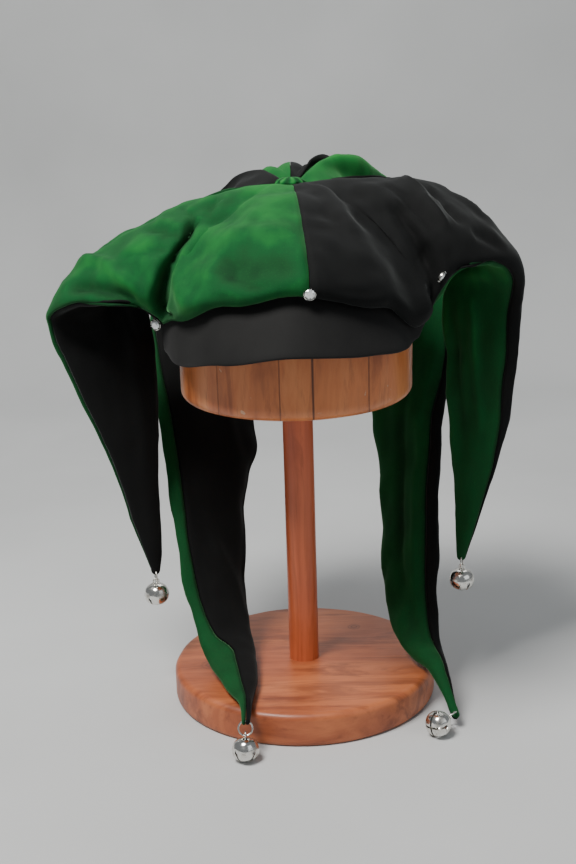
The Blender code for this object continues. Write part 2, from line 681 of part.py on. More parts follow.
# Bells: a round hollow body with a crossed slot below and a wire loop on top.
def make_bell(name, matrix):
    """The bell hangs from its frame's origin, which is the middle of its loop's hole."""
    profile = []
    for step in range(BELL_ROWS + 1):
        angle = math.pi * step / BELL_ROWS - math.pi / 2
        profile.append((BELL_RADIUS * math.cos(angle), BELL_HEIGHT / 2 * math.sin(angle)))
    narrow = 1 - BELL_WALL / BELL_RADIUS
    low = 1 - 2 * BELL_WALL / BELL_HEIGHT
    hollow = [(radius * narrow, height * low) for radius, height in profile]
    centre = matrix @ Matrix.Translation((0, 0, -BELL_DROP))
    bell = finish(name, placed(turned(profile, BELL_SIDES), centre), NICKEL)
    loop = finish(name + "_loop", placed(torus(LOOP_RADIUS, LOOP_WIRE, 12, 6), matrix), NICKEL)
    loop.hide_render = True
    loop.display_type = "WIRE"
    joined = bell.modifiers.new("loop", "BOOLEAN")
    joined.operation = "UNION"
    joined.solver = "EXACT"
    joined.object = loop
    cut(bell, cutter(name + "_inside", placed(turned(hollow, BELL_SIDES), centre)))
    for index in range(2):
        slot = bmesh.new()
        bmesh.ops.create_cube(slot, size=1.0)
        bmesh.ops.scale(slot, verts=slot.verts,
                        vec=(3 * BELL_RADIUS, BELL_SLOT, BELL_HEIGHT / 2))
        bmesh.ops.translate(slot, verts=slot.verts, vec=(0, 0, -BELL_HEIGHT / 4 - BELL_HEIGHT * 0.12))
        turn = Matrix.Rotation(math.pi / 4 + index * math.pi / 2, 4, "Z")
        cut(bell, cutter(name + "_slot_" + str(index), placed(slot, centre @ turn)))


# The bells that lie on the floor. Columns: how far they lie from the end of the horn, to
# the right and the back, as shares of each other.
LYING = {"back_left": (-0.05, -1.0), "back_right": (-0.75, -0.75)}


def lying_way(start, right, back):
    """The way a chain runs from its start to a bell that rests on the floor."""
    length = 2 * RING_RADIUS + LOOP_PLAY + BELL_DROP
    level = Vector((right, back, 0)).normalized()
    down, up = math.radians(89), math.radians(-30)
    for _ in range(30):
        slope = (down + up) / 2
        reach_down = length * math.sin(slope)
        reach_down += math.hypot(BELL_RADIUS * math.cos(slope), BELL_HEIGHT / 2 * math.sin(slope))
        if reach_down > start.z - FLOOR_GAP:
            down = slope
        else:
            up = slope
    return level * math.cos(up) - Vector((0, 0, math.sin(up)))


def make_trimmings(panels):
    for corner, (rows, azimuth) in HORNS.items():
        end, onward, across = horn_end(rows, azimuth)
        start = end - onward * (RING_BITE + RING_WIRE)
        way = Vector((0, 0, -1))
        if corner in LYING:
            way = lying_way(start, *LYING[corner])
        across = (across - way * across.dot(way)).normalized()
        ring_centre = start + way * RING_RADIUS
        ring_frame = frame(ring_centre, across.cross(way), -way)
        finish("ring_" + corner, placed(torus(RING_RADIUS, RING_WIRE, 14, 6), ring_frame), NICKEL)
        hole = placed(torus(RING_RADIUS, RING_WIRE + GAP, 14, 6), ring_frame)
        shape = cutter("ring_hole_" + corner, hole)
        side = corner.split("_")[1]
        for name in ("side_" + side, corner):
            cut(panels[name], shape)
        loop_centre = ring_centre + way * (RING_RADIUS + LOOP_PLAY)
        make_bell("bell_" + corner, frame(loop_centre, across, -way))


# Stones: cut crystals in cups. Columns: the stone's middle, to the right, to the back and
# up, in the horns' shares, then the azimuth it faces and how far it looks down, in degrees.
STONES = {
    "front": (0.101, -1.053, 0.829, FRONT_SEAM, 18),
    "left": (-0.966, -0.420, 0.751, -30, 5),
    "right": (1.009, -0.539, 0.834, 53, 23),
}


def make_stones():
    girdle = SETTING_HEIGHT + GAP
    for name, (right, back, up, azimuth, tilt) in STONES.items():
        tilt = math.radians(tilt)
        outward = heading(azimuth) * math.cos(tilt) - Vector((0, 0, math.sin(tilt)))
        seat = place(right, back, up) - outward * girdle
        turn = frame(seat, heading(azimuth + 90).cross(outward), outward)
        cup = turned([
            (0, 0), (STONE_RADIUS, 0), (STONE_RADIUS + SETTING_WALL, SETTING_HEIGHT),
            (STONE_RADIUS + GAP, SETTING_HEIGHT), (STONE_RADIUS * 0.5, SETTING_FLOOR),
            (0, SETTING_FLOOR),
        ], 16)
        finish("setting_" + name, placed(cup, turn), NICKEL, 30.0)
        stone = turned([
            (0, SETTING_FLOOR + GAP), (STONE_RADIUS * 0.35, SETTING_FLOOR + GAP * 1.5),
            (STONE_RADIUS, girdle), (STONE_RADIUS * 0.95, girdle + STONE_CROWN * 0.2),
            (STONE_RADIUS * 0.55, girdle + STONE_CROWN), (0, girdle + STONE_CROWN),
        ], 8)
        finish("stone_" + name, placed(stone, turn), CRYSTAL, 5.0)


make_stand()
hat = make_panels()
make_peak()
make_trimmings(hat)
make_stones()
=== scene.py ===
# Jester hat of green and black velvet with four belled horns, resting on a turned wooden
# hat stand. Metres, +Z up, the peak towards -Y, the origin on the floor under the post.
import json
import math

import bmesh
import bpy
import numpy as np
from mathutils import Matrix, Vector, noise

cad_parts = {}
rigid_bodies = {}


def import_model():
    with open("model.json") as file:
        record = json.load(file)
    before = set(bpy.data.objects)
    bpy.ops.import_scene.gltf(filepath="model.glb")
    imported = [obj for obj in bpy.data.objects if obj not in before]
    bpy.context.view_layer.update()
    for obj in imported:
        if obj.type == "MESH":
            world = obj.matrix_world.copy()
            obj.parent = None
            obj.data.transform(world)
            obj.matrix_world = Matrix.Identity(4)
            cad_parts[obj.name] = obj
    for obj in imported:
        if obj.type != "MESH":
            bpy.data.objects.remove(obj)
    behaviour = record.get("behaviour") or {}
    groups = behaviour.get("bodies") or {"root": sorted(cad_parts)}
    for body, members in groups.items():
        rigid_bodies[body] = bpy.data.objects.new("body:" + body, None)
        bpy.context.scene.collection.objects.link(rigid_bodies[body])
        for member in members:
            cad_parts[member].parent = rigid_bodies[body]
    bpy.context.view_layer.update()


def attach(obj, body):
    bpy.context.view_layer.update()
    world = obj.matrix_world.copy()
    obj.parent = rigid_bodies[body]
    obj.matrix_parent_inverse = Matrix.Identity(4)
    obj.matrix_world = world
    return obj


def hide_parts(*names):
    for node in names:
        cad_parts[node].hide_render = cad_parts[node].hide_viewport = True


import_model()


# Wooden base. A thick disc turned from one plank and stained reddish brown, with a
# rounded edge, a knot near the rim at the left and a few chips in the stain.
BASE_RADIUS = 0.0973
BASE_HEIGHT = 0.024


class Reading:
    """A number read from a node, which adds its Math nodes as it is worked with."""

    def __init__(self, finish, socket):
        self.finish = finish
        self.socket = socket

    def math(self, operation, first, second):
        return self.finish.node("ShaderNodeMath", {"operation": operation}, {0: first, 1: second})

    def __add__(self, other):
        return self.math("ADD", self, other)

    def __sub__(self, other):
        return self.math("SUBTRACT", self, other)

    def __rsub__(self, other):
        return self.math("SUBTRACT", other, self)

    def __mul__(self, other):
        return self.math("MULTIPLY", self, other)

    def clamp(self):
        return self.math("MINIMUM", self.math("MAXIMUM", self, 0.0), 1.0)


class Finish:
    """A material put together node by node round one shader."""

    def __init__(self, name, **constants):
        self.made = bpy.data.materials.new(name)
        self.made.use_nodes = True
        self.tree = self.made.node_tree
        self.shader = self.tree.nodes["Principled BSDF"]
        for socket, value in constants.items():
            self.shader.inputs[socket.replace("_", " ")].default_value = value

    def node(self, kind, settings=None, sockets=None, output=0):
        added = self.tree.nodes.new(kind)
        for key, value in (settings or {}).items():
            if key == "stops":
                ramp = added.color_ramp
                while len(ramp.elements) < len(value):
                    ramp.elements.new(0.5)
                for element, (place, colour) in zip(ramp.elements, value):
                    element.position = place
                    element.color = (*colour, 1.0)
            else:
                setattr(added, key, value)
        for key, value in (sockets or {}).items():
            self.feed(added.inputs[key], value)
        return Reading(self, added.outputs[output])

    def feed(self, socket, value):
        if isinstance(value, Reading):
            self.tree.links.new(value.socket, socket)
        else:
            socket.default_value = value

    def place(self, scale=(1, 1, 1), turn=(0, 0, 0), move=(0, 0, 0)):
        """Object coordinates, moved, turned and scaled."""
        spot = self.node("ShaderNodeTexCoord", output=3)
        return self.node("ShaderNodeMapping", {}, {
            "Vector": spot, "Location": move, "Rotation": turn, "Scale": scale})

    def noise(self, place, scale, detail=3.0, roughness=0.5, distortion=0.0):
        return self.node("ShaderNodeTexNoise", {}, {
            "Vector": place, "Scale": scale, "Detail": detail, "Roughness": roughness,
            "Distortion": distortion})

    def blend(self, share, first, second):
        """Two colours mixed by a share. Colours are triples or readings."""
        first, second = [c if isinstance(c, Reading) else (*c, 1.0) for c in (first, second)]
        return self.node("ShaderNodeMix", {"data_type": "RGBA"},
                         {0: share, 6: first, 7: second}, output=2)

    def ramp(self, share, *stops):
        return self.node("ShaderNodeValToRGB", {"stops": stops}, {0: share})

    def step(self, reading, low, high):
        """A reading eased from 0 at low to 1 at high."""
        return self.node("ShaderNodeMapRange", {"interpolation_type": "SMOOTHSTEP"},
                         {"Value": reading, "From Min": low, "From Max": high})

    def bump(self, height, distance, strength):
        return self.node("ShaderNodeBump", {}, {
            "Height": height, "Distance": distance, "Strength": strength})

    def surface(self, **sockets):
        for key, value in sockets.items():
            self.feed(self.shader.inputs[key.replace("_", " ")], value)
        return self.made


def put_in(name, mesh):
    """Put a finished mesh into the scene as an object."""
    made = bpy.data.objects.new(name, bpy.data.meshes.new(name))
    mesh.to_mesh(made.data)
    mesh.free()
    bpy.context.collection.objects.link(made)
    return made


def shaped(name, mesh, look, slot, *nodes, angle=35.0):
    """Make the mesh a piece of the object: it rides the frame and stands for its nodes."""
    piece = put_in(name, mesh)
    piece.data.shade_smooth()
    piece.data.set_sharp_from_angle(angle=math.radians(angle))
    piece.data.materials.append(look)
    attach(piece, "root")
    if nodes:
        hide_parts(*nodes)
    return piece


def turned(profile, steps):
    """A turned body: a profile of (radius, height) from axis to axis, spun full round."""
    mesh = bmesh.new()
    points = [mesh.verts.new((radius, 0.0, height)) for radius, height in profile]
    edges = [mesh.edges.new(pair) for pair in zip(points, points[1:])]
    bmesh.ops.spin(mesh, geom=points + edges, cent=(0, 0, 0), axis=(0, 0, 1),
                   angle=math.tau, steps=steps, use_merge=True)
    bmesh.ops.remove_doubles(mesh, verts=mesh.verts, dist=0.000002)
    bmesh.ops.recalc_face_normals(mesh, faces=mesh.faces)
    return mesh


def arc(radius, height, edge, start, end, count):
    """Points of a rounded edge in a profile, between two angles in degrees."""
    turns = [math.radians(start + (end - start) * k / count) for k in range(count + 1)]
    return [(radius + edge * math.cos(t), height + edge * math.sin(t)) for t in turns]


def wood(name, pale, mid, dark, along, knots=(), cracks=(), chips=0.0, rough=0.42):
    """Stained wood. along is the scale of the grain on each axis, small along the grain."""
    look = Finish(name, Specular_IOR_Level=0.45, Coat_Weight=0.14, Coat_Roughness=0.20)
    plain = look.place()
    warp = look.noise(plain, 9.0, 2.0)
    grain_place = look.place(scale=along)
    grain = look.noise(grain_place, 1.0, 6.0, 0.62, 0.6)
    fine = look.noise(look.place(scale=[a * 4.5 for a in along]), 1.0, 4.0, 0.7)
    tone = look.noise(plain, 14.0, 3.0, 0.55)
    mark = (grain * 0.75 + warp * 0.25).clamp()
    colour = look.ramp(mark, (0.28, dark), (0.46, mid), (0.62, pale), (0.8, mid))
    streak = look.step(fine, 0.52, 0.74)
    colour = look.blend(streak * 0.45, colour, dark)
    colour = look.blend(look.step(tone, 0.4, 0.72) * 0.4, colour, pale)
    smear = look.noise(look.place(scale=[1 + a * 0.25 for a in along]), 3.2, 5.0, 0.65, 1.2)
    colour = look.blend(look.step(smear, 0.50, 0.66) * 0.55, colour, dark)
    height = grain * 0.6 + fine * 0.4
    for x, y, z, size in knots:
        ring_place = look.place(move=(-x, -y, -z))
        far = look.node("ShaderNodeVectorMath", {"operation": "LENGTH"}, {0: ring_place}, output=1)
        wobble = look.noise(ring_place, 260.0, 2.0)
        near = far * (1.0 / size) + wobble * 0.35
        ring = look.node("ShaderNodeMath", {"operation": "SINE"}, {0: near * 13.0})
        inside = 1.0 - look.step(near, 0.75, 1.5)
        colour = look.blend(inside * (ring * 0.35 + 0.45).clamp(), colour, dark)
    for x, y, width, depth in cracks:
        place = look.place(move=(-x, -y, 0), scale=(1, 1, 0.12))
        drift = look.noise(place, 30.0, 3.0) - 0.5
        across = look.node("ShaderNodeSeparateXYZ", {}, {0: look.place(move=(-x, -y, 0))})
        side = look.node("ShaderNodeMath", {"operation": "ABSOLUTE"}, {0: across + drift * 0.006})
        line = 1.0 - look.step(side, width * 0.3, width)
        # Painted shade: each crack is drawn as a near-black line, for the shade in its gap.
        colour = look.blend(line * depth, colour, [c * 0.3 for c in dark])
        height = height - line * 1.2
    if chips:
        spot = look.noise(plain, 75.0, 4.0, 0.6)
        bare = look.step(spot, 0.735 - chips, 0.765 - chips)
        colour = look.blend(bare * 0.75, colour, [0.62, 0.40, 0.26])
        height = height - bare * 0.8
    worn = look.noise(plain, 45.0, 4.0)
    return look.surface(
        Base_Color=colour, Roughness=(worn * 0.22 + rough - 0.06).clamp(),
        Normal=look.bump(height, 0.0005, 0.55))


BASE_STAIN = wood("base_stain", (0.52, 0.155, 0.055), (0.36, 0.090, 0.031), (0.14, 0.030, 0.011),
                  (7, 62, 40), knots=[(-0.0700, -0.012, 0.024, 0.0075), (0.040, 0.052, 0.024, 0.005)],
                  chips=0.018)
bottom = arc(BASE_RADIUS - 0.0035, 0.0035, 0.0035, -90, 0, 6)
top = arc(BASE_RADIUS - 0.0050, BASE_HEIGHT - 0.0050, 0.0050, 0, 90, 8)
inner = [(BASE_RADIUS * share, BASE_HEIGHT) for share in (0.8, 0.55, 0.3, 0.14)]
base = turned([(0, 0), (BASE_RADIUS * 0.5, 0), *bottom, *top, *inner, (0, BASE_HEIGHT)], 128)
for vert in base.verts:
    if vert.co.z > BASE_HEIGHT * 0.4:
        wear = noise.noise(vert.co * 34) * 0.0005 + noise.noise(vert.co * 110) * 0.00018
        way = Vector((vert.co.x, vert.co.y, 0)).normalized()
        rim = max(0.0, (vert.co.xy.length - BASE_RADIUS * 0.86) / (BASE_RADIUS * 0.14))
        vert.co -= way * max(wear, 0.0) * rim + Vector((0, 0, max(wear, 0.0) * rim))
shaped("base_disc", base, BASE_STAIN, "base_wood", "stand_base")


# Post. A dowel let into the base and the block, stained a little more orange, with its
# straight grain up and down.
POST_RADIUS = 0.011
POST_TOP = 0.2396
POST_SOCKET = 0.011
POST_STAIN = wood("post_stain", (0.62, 0.155, 0.058), (0.48, 0.105, 0.038), (0.30, 0.058, 0.020),
                  (85, 85, 5), rough=0.36)
heights = [BASE_HEIGHT - POST_SOCKET + (POST_TOP - BASE_HEIGHT + POST_SOCKET) * k / 40
           for k in range(41)]
post = turned([(0, heights[0]), *[(POST_RADIUS, h) for h in heights], (0, heights[-1])], 64)
for vert in post.verts:
    way = Vector((vert.co.x, vert.co.y, 0))
    vert.co += way * noise.noise(Vector((way.x * 40, way.y * 40, vert.co.z * 18))) * 0.012
shaped("post_dowel", post, POST_STAIN, "post_wood", "stand_post")


# Head block. An oval block of glued softwood turned and sanded to a head's shape, with its
# grain upright, open drying cracks down the sides and pale patches where the stain wore.
BLOCK_HALF_WIDTH = 0.0825
BLOCK_HALF_LENGTH = 0.092
BLOCK_BOTTOM = 0.228
BLOCK_SIDE = 0.076
BLOCK_CROWN = 0.056
BLOCK_EDGE = 0.0075
BLOCK_STAIN = wood(
    "block_stain", (0.70, 0.265, 0.095), (0.54, 0.155, 0.046), (0.20, 0.042, 0.013), (36, 36, 6),
    cracks=[(0.0105, -0.09, 0.0010, 0.85), (0.0475, -0.08, 0.0007, 0.6),
            (-0.0110, -0.09, 0.0006, 0.6), (-0.052, -0.07, 0.0006, 0.45)],
    chips=0.045, rough=0.30)
profile = [(0, 0), (0.5, 0)]
profile += [(1 - BLOCK_EDGE / BLOCK_HALF_WIDTH * (1 - math.cos(math.radians(t))),
             BLOCK_EDGE * (1 - math.sin(math.radians(t)))) for t in range(90, -1, -15)]
profile += [(1.0, BLOCK_SIDE * k / 8) for k in range(1, 8)]
profile += [(math.cos(math.radians(t)), BLOCK_SIDE + BLOCK_CROWN * math.sin(math.radians(t)))
            for t in range(0, 90, 9)]
block = turned([*profile, (0, BLOCK_SIDE + BLOCK_CROWN)], 128)
bmesh.ops.scale(block, verts=block.verts, vec=(BLOCK_HALF_WIDTH, BLOCK_HALF_LENGTH, 1.0))
bmesh.ops.translate(block, verts=block.verts, vec=(0, 0, BLOCK_BOTTOM))
for vert in block.verts:
    way = Vector((vert.co.x, vert.co.y, 0))
    if way.length > 0.02:
        vert.co -= way.normalized() * max(noise.noise(vert.co * 28), 0.0) * 0.0009
shaped("head_block", block, BLOCK_STAIN, "block_wood", "stand_block")


# Hat cloth. Six panels of cotton velvet, cut as long curved gores and sewn right sides
# together, so that the seams run from the crown's middle along both edges of each horn.
# Pile brushed one way or the other reads light or dark, and the horns fall in soft folds.
# The cloth's colour also holds painted shade in creases, along the seams and low down, and
# painted light on ridges and near the crown's top.
CLOTH = 0.0014
SEAM_GAP = 0.0004
ROOM = 0.0145
RIM_HALF_WIDTH = BLOCK_HALF_WIDTH + ROOM
RIM_HALF_LENGTH = BLOCK_HALF_LENGTH + ROOM
CROWN_TOP = BLOCK_BOTTOM + BLOCK_SIDE + BLOCK_CROWN + ROOM
SPAN = CROWN_TOP - BASE_HEIGHT
FRONT_SEAM = 5.5
FRONT_HORN = 66.0
BACK_HORN = 145.0
VALLEY_WIDTH = 0.015
VALLEY_TURN = math.degrees(VALLEY_WIDTH / RIM_HALF_WIDTH)
KNOT_OPENING = 0.003
ACROSS = 44

# The crown. Columns: azimuth (0 front, + to the right), height of its lower edge, and how
# far out and up its shoulder stands, as shares of the way to the crown's middle.
CROWN = [
    (-180, 0.690, 0.72, 0.86), (-125, 0.705, 0.77, 0.78), (-95, 0.725, 0.80, 0.64),
    (-70, 0.745, 0.80, 0.61), (-52, 0.765, 0.80, 0.61), (-25, 0.803, 0.80, 0.61),
    (0, 0.823, 0.80, 0.61), (35, 0.790, 0.80, 0.61), (55, 0.738, 0.80, 0.63),
    (70, 0.745, 0.80, 0.63), (95, 0.745, 0.80, 0.64), (125, 0.716, 0.77, 0.78),
    (180, 0.690, 0.72, 0.86),
]

# The horns, a row for each section from the crown to the tip. Columns: lower seam (to the
# right, to the back, up), upper seam, how far the front and the back panel stand out, and
# how far the seams are rolled round, in degrees.
HORNS = {
    "front_left": (-FRONT_HORN, 2.0, [
        (-1.00, -0.45, 0.783, -0.43, -0.04, 0.994, 0.167, 0.147, 0),
        (-1.19, -0.54, 0.801, -0.80, 0.06, 0.957, 0.147, 0.138, 0),
        (-1.44, -0.44, 0.798, -1.11, 0.15, 0.912, 0.118, 0.118, 0),
        (-1.66, -0.30, 0.781, -1.28, 0.24, 0.860, 0.128, 0.098, 8),
        (-1.76, -0.19, 0.755, -1.21, 0.30, 0.803, 0.147, 0.088, 15),
        (-1.75, -0.15, 0.712, -1.09, 0.23, 0.741, 0.098, 0.079, 18),
        (-1.68, -0.12, 0.661, -1.04, 0.13, 0.667, 0.088, 0.079, 20),
        (-1.49, -0.08, 0.519, -1.05, 0.10, 0.501, 0.069, 0.069, 20),
        (-1.34, -0.04, 0.387, -1.07, 0.09, 0.353, 0.059, 0.059, 15),
        (-1.22, -0.01, 0.262, -1.07, 0.05, 0.254, 0.045, 0.045, 8),
        (-1.16, 0.01, 0.205, -1.08, 0.03, 0.202, 0.029, 0.029, 0),
    ]),
    "front_right": (FRONT_HORN, 2.0, [
        (1.04, -0.47, 0.832, 0.46, 0.00, 1.006, 0.147, 0.138, 0),
        (1.20, -0.48, 0.852, 0.85, 0.21, 1.000, 0.147, 0.128, 0),
        (1.35, -0.40, 0.852, 1.07, 0.30, 0.963, 0.147, 0.118, 0),
        (1.49, -0.30, 0.838, 1.20, 0.36, 0.912, 0.147, 0.098, 10),
        (1.59, -0.21, 0.803, 1.18, 0.36, 0.849, 0.138, 0.088, 25),
        (1.62, -0.13, 0.758, 1.14, 0.31, 0.781, 0.128, 0.079, 38),
        (1.62, -0.09, 0.701, 1.13, 0.24, 0.701, 0.118, 0.079, 42),
        (1.60, -0.08, 0.627, 1.14, 0.21, 0.621, 0.108, 0.069, 42),
        (1.57, -0.06, 0.547, 1.15, 0.18, 0.536, 0.098, 0.069, 40),
        (1.52, -0.02, 0.462, 1.16, 0.14, 0.444, 0.079, 0.059, 32),
        (1.41, 0.00, 0.359, 1.18, 0.10, 0.353, 0.059, 0.050, 20),
        (1.30, 0.02, 0.251, 1.19, 0.07, 0.245, 0.042, 0.042, 5),
        (1.26, 0.03, 0.214, 1.19, 0.05, 0.214, 0.028, 0.028, 0),
    ]),
    "back_left": (-BACK_HORN, 3.0, [
        (-0.64, 0.91, 0.701, -0.21, 0.26, 1.020, 0.118, 0.118, 0),
        (-0.70, 1.01, 0.689, -0.47, 0.56, 0.983, 0.138, 0.138, 0),
        (-0.73, 1.08, 0.675, -0.77, 0.85, 0.906, 0.128, 0.138, 0),
        (-0.72, 1.11, 0.655, -1.05, 0.93, 0.798, 0.118, 0.128, 8),
        (-0.66, 1.10, 0.624, -1.16, 0.91, 0.689, 0.098, 0.118, 18),
        (-0.53, 1.03, 0.575, -1.15, 0.77, 0.604, 0.079, 0.108, 30),
        (-0.35, 0.87, 0.490, -1.11, 0.56, 0.524, 0.069, 0.098, 38),
        (-0.34, 0.73, 0.407, -1.06, 0.38, 0.439, 0.069, 0.098, 40),
        (-0.40, 0.63, 0.348, -1.00, 0.21, 0.359, 0.069, 0.089, 40),
        (-0.45, 0.50, 0.245, -0.94, 0.06, 0.239, 0.071, 0.091, 40),
        (-0.44, 0.31, 0.142, -0.87, -0.04, 0.142, 0.072, 0.082, 42),
        (-0.41, 0.04, 0.063, -0.81, -0.18, 0.068, 0.082, 0.082, 60),
        (-0.37, -0.23, 0.031, -0.73, -0.33, 0.031, 0.082, 0.082, 95),
        (-0.35, -0.58, 0.020, -0.59, -0.62, 0.020, 0.062, 0.062, 92),
        (-0.38, -0.90, 0.017, -0.47, -0.92, 0.017, 0.041, 0.041, 90),
        (-0.39, -1.10, 0.004, -0.45, -1.10, 0.004, 0.029, 0.029, 90),
    ]),
    "back_right": (BACK_HORN, 3.0, [
        (0.64, 0.91, 0.704, 0.16, 0.23, 1.034, 0.118, 0.118, -14),
        (0.71, 1.01, 0.695, 0.41, 0.46, 1.060, 0.177, 0.105, -50),
        (0.74, 1.09, 0.684, 0.72, 0.72, 1.009, 0.177, 0.105, -62),
        (0.75, 1.12, 0.667, 1.01, 0.86, 0.906, 0.138, 0.138, -48),
        (0.72, 1.11, 0.641, 1.20, 0.88, 0.792, 0.118, 0.128, -10),
        (0.67, 1.05, 0.598, 1.24, 0.81, 0.684, 0.088, 0.118, 15),
        (0.61, 0.94, 0.524, 1.22, 0.66, 0.587, 0.079, 0.108, 28),
        (0.62, 0.81, 0.439, 1.14, 0.49, 0.490, 0.079, 0.098, 38),
        (0.67, 0.72, 0.359, 1.08, 0.31, 0.370, 0.069, 0.089, 42),
        (0.68, 0.59, 0.251, 1.05, 0.16, 0.256, 0.071, 0.091, 44),
        (0.65, 0.39, 0.142, 1.03, 0.02, 0.148, 0.072, 0.082, 44),
        (0.67, 0.16, 0.063, 1.03, -0.10, 0.080, 0.082, 0.082, 44),
        (0.76, -0.14, 0.028, 1.04, -0.27, 0.037, 0.072, 0.072, 44),
        (0.88, -0.41, 0.023, 1.05, -0.47, 0.026, 0.057, 0.057, 40),
        (1.00, -0.64, -0.014, 1.08, -0.63, -0.009, 0.041, 0.041, 20),
        (1.05, -0.76, -0.044, 1.11, -0.74, -0.041, 0.029, 0.029, 0),
    ]),
}

# How a horn's end is rounded off. Columns: how far ahead and how wide, both as shares of
# half its width there.
TIP_ROUND = [(0.25, 0.97), (0.5, 0.88), (0.72, 0.70), (0.88, 0.46), (0.96, 0.2)]


def smooth(value):
    """A share from 0 to 1, eased at both ends."""
    value = min(max(value, 0.0), 1.0)
    return value * value * (3 - 2 * value)


def table_at(table, key):
    """The columns of a table at a key, eased from row to row."""
    for row, after in zip(table, table[1:]):
        if key <= after[0]:
            share = smooth((key - row[0]) / (after[0] - row[0]))
            return [a + (b - a) * share for a, b in zip(row[1:], after[1:])]
    return list(table[-1][1:])


def reach_at(up):
    """How far to the right and to the back one share reaches: less near the base."""
    blend = smooth((up - 0.10) / 0.35)
    return [BASE_RADIUS + (half - BASE_RADIUS) * blend for half in (RIM_HALF_WIDTH, RIM_HALF_LENGTH)]


def place(right, back, up):
    """A point given as shares of the hat's reach and of its height over the base."""
    reach_right, reach_back = reach_at(up)
    return Vector((right * reach_right, back * reach_back, BASE_HEIGHT + up * SPAN))


def heading(azimuth):
    """The level way out at an azimuth, 0 to the front and 90 to the right."""
    return Vector((math.sin(math.radians(azimuth)), -math.cos(math.radians(azimuth)), 0.0))


def oval(azimuth, height, inset=0.0):
    """A point on the rim's oval, or inside it."""
    way = heading(azimuth)
    return Vector((way.x * (RIM_HALF_WIDTH - inset), way.y * (RIM_HALF_LENGTH - inset), height))


def rim_height(azimuth):
    return BASE_HEIGHT + table_at(CROWN, azimuth)[0] * SPAN


def crown_section(azimuth, shoulder_azimuth, valley):
    """The crown's lower and upper edge at an azimuth, and how far it puffs out between."""
    _, out, up = table_at(CROWN, azimuth)
    low = oval(azimuth, rim_height(azimuth))
    high = Vector((0, 0, CROWN_TOP)) + heading(azimuth) * KNOT_OPENING
    shoulder = oval(shoulder_azimuth, 0.0) * out * (1 - 0.06 * valley)
    shoulder.z = low.z + (CROWN_TOP - low.z) * up
    return low, high, shoulder - (low + high) / 2


def eased(rows, position):
    """Every column of the rows at a position, smooth and with no overshoot."""
    index = min(int(position), len(rows) - 2)
    share = position - index
    values = []
    for track in zip(*rows):
        steps = [b - a for a, b in zip(track, track[1:])]
        slopes = []
        for knot in (index, index + 1):
            before, after = steps[max(knot - 1, 0)], steps[min(knot, len(steps) - 1)]
            slopes.append(2 * before * after / (before + after) if before * after > 0 else 0.0)
        u, v = share, 1 - share
        values.append(track[index] * v * v * (1 + 2 * u) + track[index + 1] * u * u * (3 - 2 * u)
                      + slopes[0] * u * v * v - slopes[1] * u * u * v)
    return values


def horn_points(corner):
    """A horn's rows in metres, after one where it leaves the crown."""
    azimuth, _, rows = HORNS[corner]
    low, high, _ = crown_section(azimuth, azimuth, 0.0)
    points = [(*low, *high, 0.0, 0.0, 0.0)]
    for row in rows:
        reach = sum(reach_at(row[2]) + reach_at(row[5])) / 4
        points.append((*place(*row[:3]), *place(*row[3:6]), row[6] * reach, row[7] * reach, row[8]))
    return points


def horn_edges(points, position):
    """The lower and the upper seam at a place along a horn, and its last three columns."""
    values = eased(points, position)
    return Vector(values[0:3]), Vector(values[3:6]), values[6:9]


def section(low, high, puffs, other, roll, apart):
    """The cloth's outside over one cut, from its lower seam to its upper one."""
    points = []
    half = (high - low) / 2
    for step in range(ACROSS + 1):
        angle = math.pi * step / ACROSS
        share = (1 - math.cos(angle)) / 2
        bulge = puffs[0].lerp(puffs[1], share)
        if math.sin(angle + roll) < -0.000001:
            bulge = -other
        clear = half.normalized() * math.sin(roll) + apart[0].lerp(apart[1], share) * math.cos(roll)
        points.append((low + high) / 2 + clear * (SEAM_GAP / 2)
                      + bulge * math.sin(angle + roll) - half * math.cos(angle + roll))
    return points


def horn_sections(corner, turn, back):
    """Sections of one panel along a horn, from root to tip, with their row and looseness."""
    azimuth, root_rows, _ = HORNS[corner]
    points = horn_points(corner)
    last = len(points) - 1
    positions = np.concatenate([np.arange(0, root_rows + 1.3, 0.1),
                                np.arange(root_rows + 1.3, last, 0.14), [last]])
    made = []
    for position in positions:
        low, high, (front_out, back_out, roll) = horn_edges(points, position)
        before = horn_edges(points, max(position - 0.2, 0.0))
        after = horn_edges(points, min(position + 0.2, last))
        along = (after[0] + after[1]) - (before[0] + before[1])
        facing = along.cross(high - low).normalized() * turn
        own = facing * (back_out if back else front_out)
        other = -facing * (front_out if back else back_out)
        apart = [(b - a).cross(high - low).normalized() * turn
                 for a, b in zip(before[:2], after[:2])]
        puffs = [own, own]
        if position < root_rows:
            away = VALLEY_TURN if facing.dot(heading(azimuth + 90)) > 0 else -VALLEY_TURN
            root = crown_section(azimuth, azimuth + away, 1.0)[2]
            own = own * min(position, 1.0)
            puff = own + root * (1 - smooth(position / root_rows))
            puffs = [puff + side * max(own.length * 0.7 - puff.dot(side), 0.0) for side in apart]
        roll = math.radians(roll if back else -roll)
        made.append((position, float(position < root_rows + 1.3),
                     section(low, high, puffs, other, roll, apart)))
    onward = (along - along.project(high - low)).normalized()
    middle, half = (low + high) / 2, (high - low) / 2
    for ahead, narrow in TIP_ROUND:
        centre = middle + onward * half.length * ahead
        made.append((last + ahead * 0.1, 0.0, section(
            centre - half * narrow, centre + half * narrow, [puff * narrow for puff in puffs],
            other * narrow, roll, apart)))
    return made


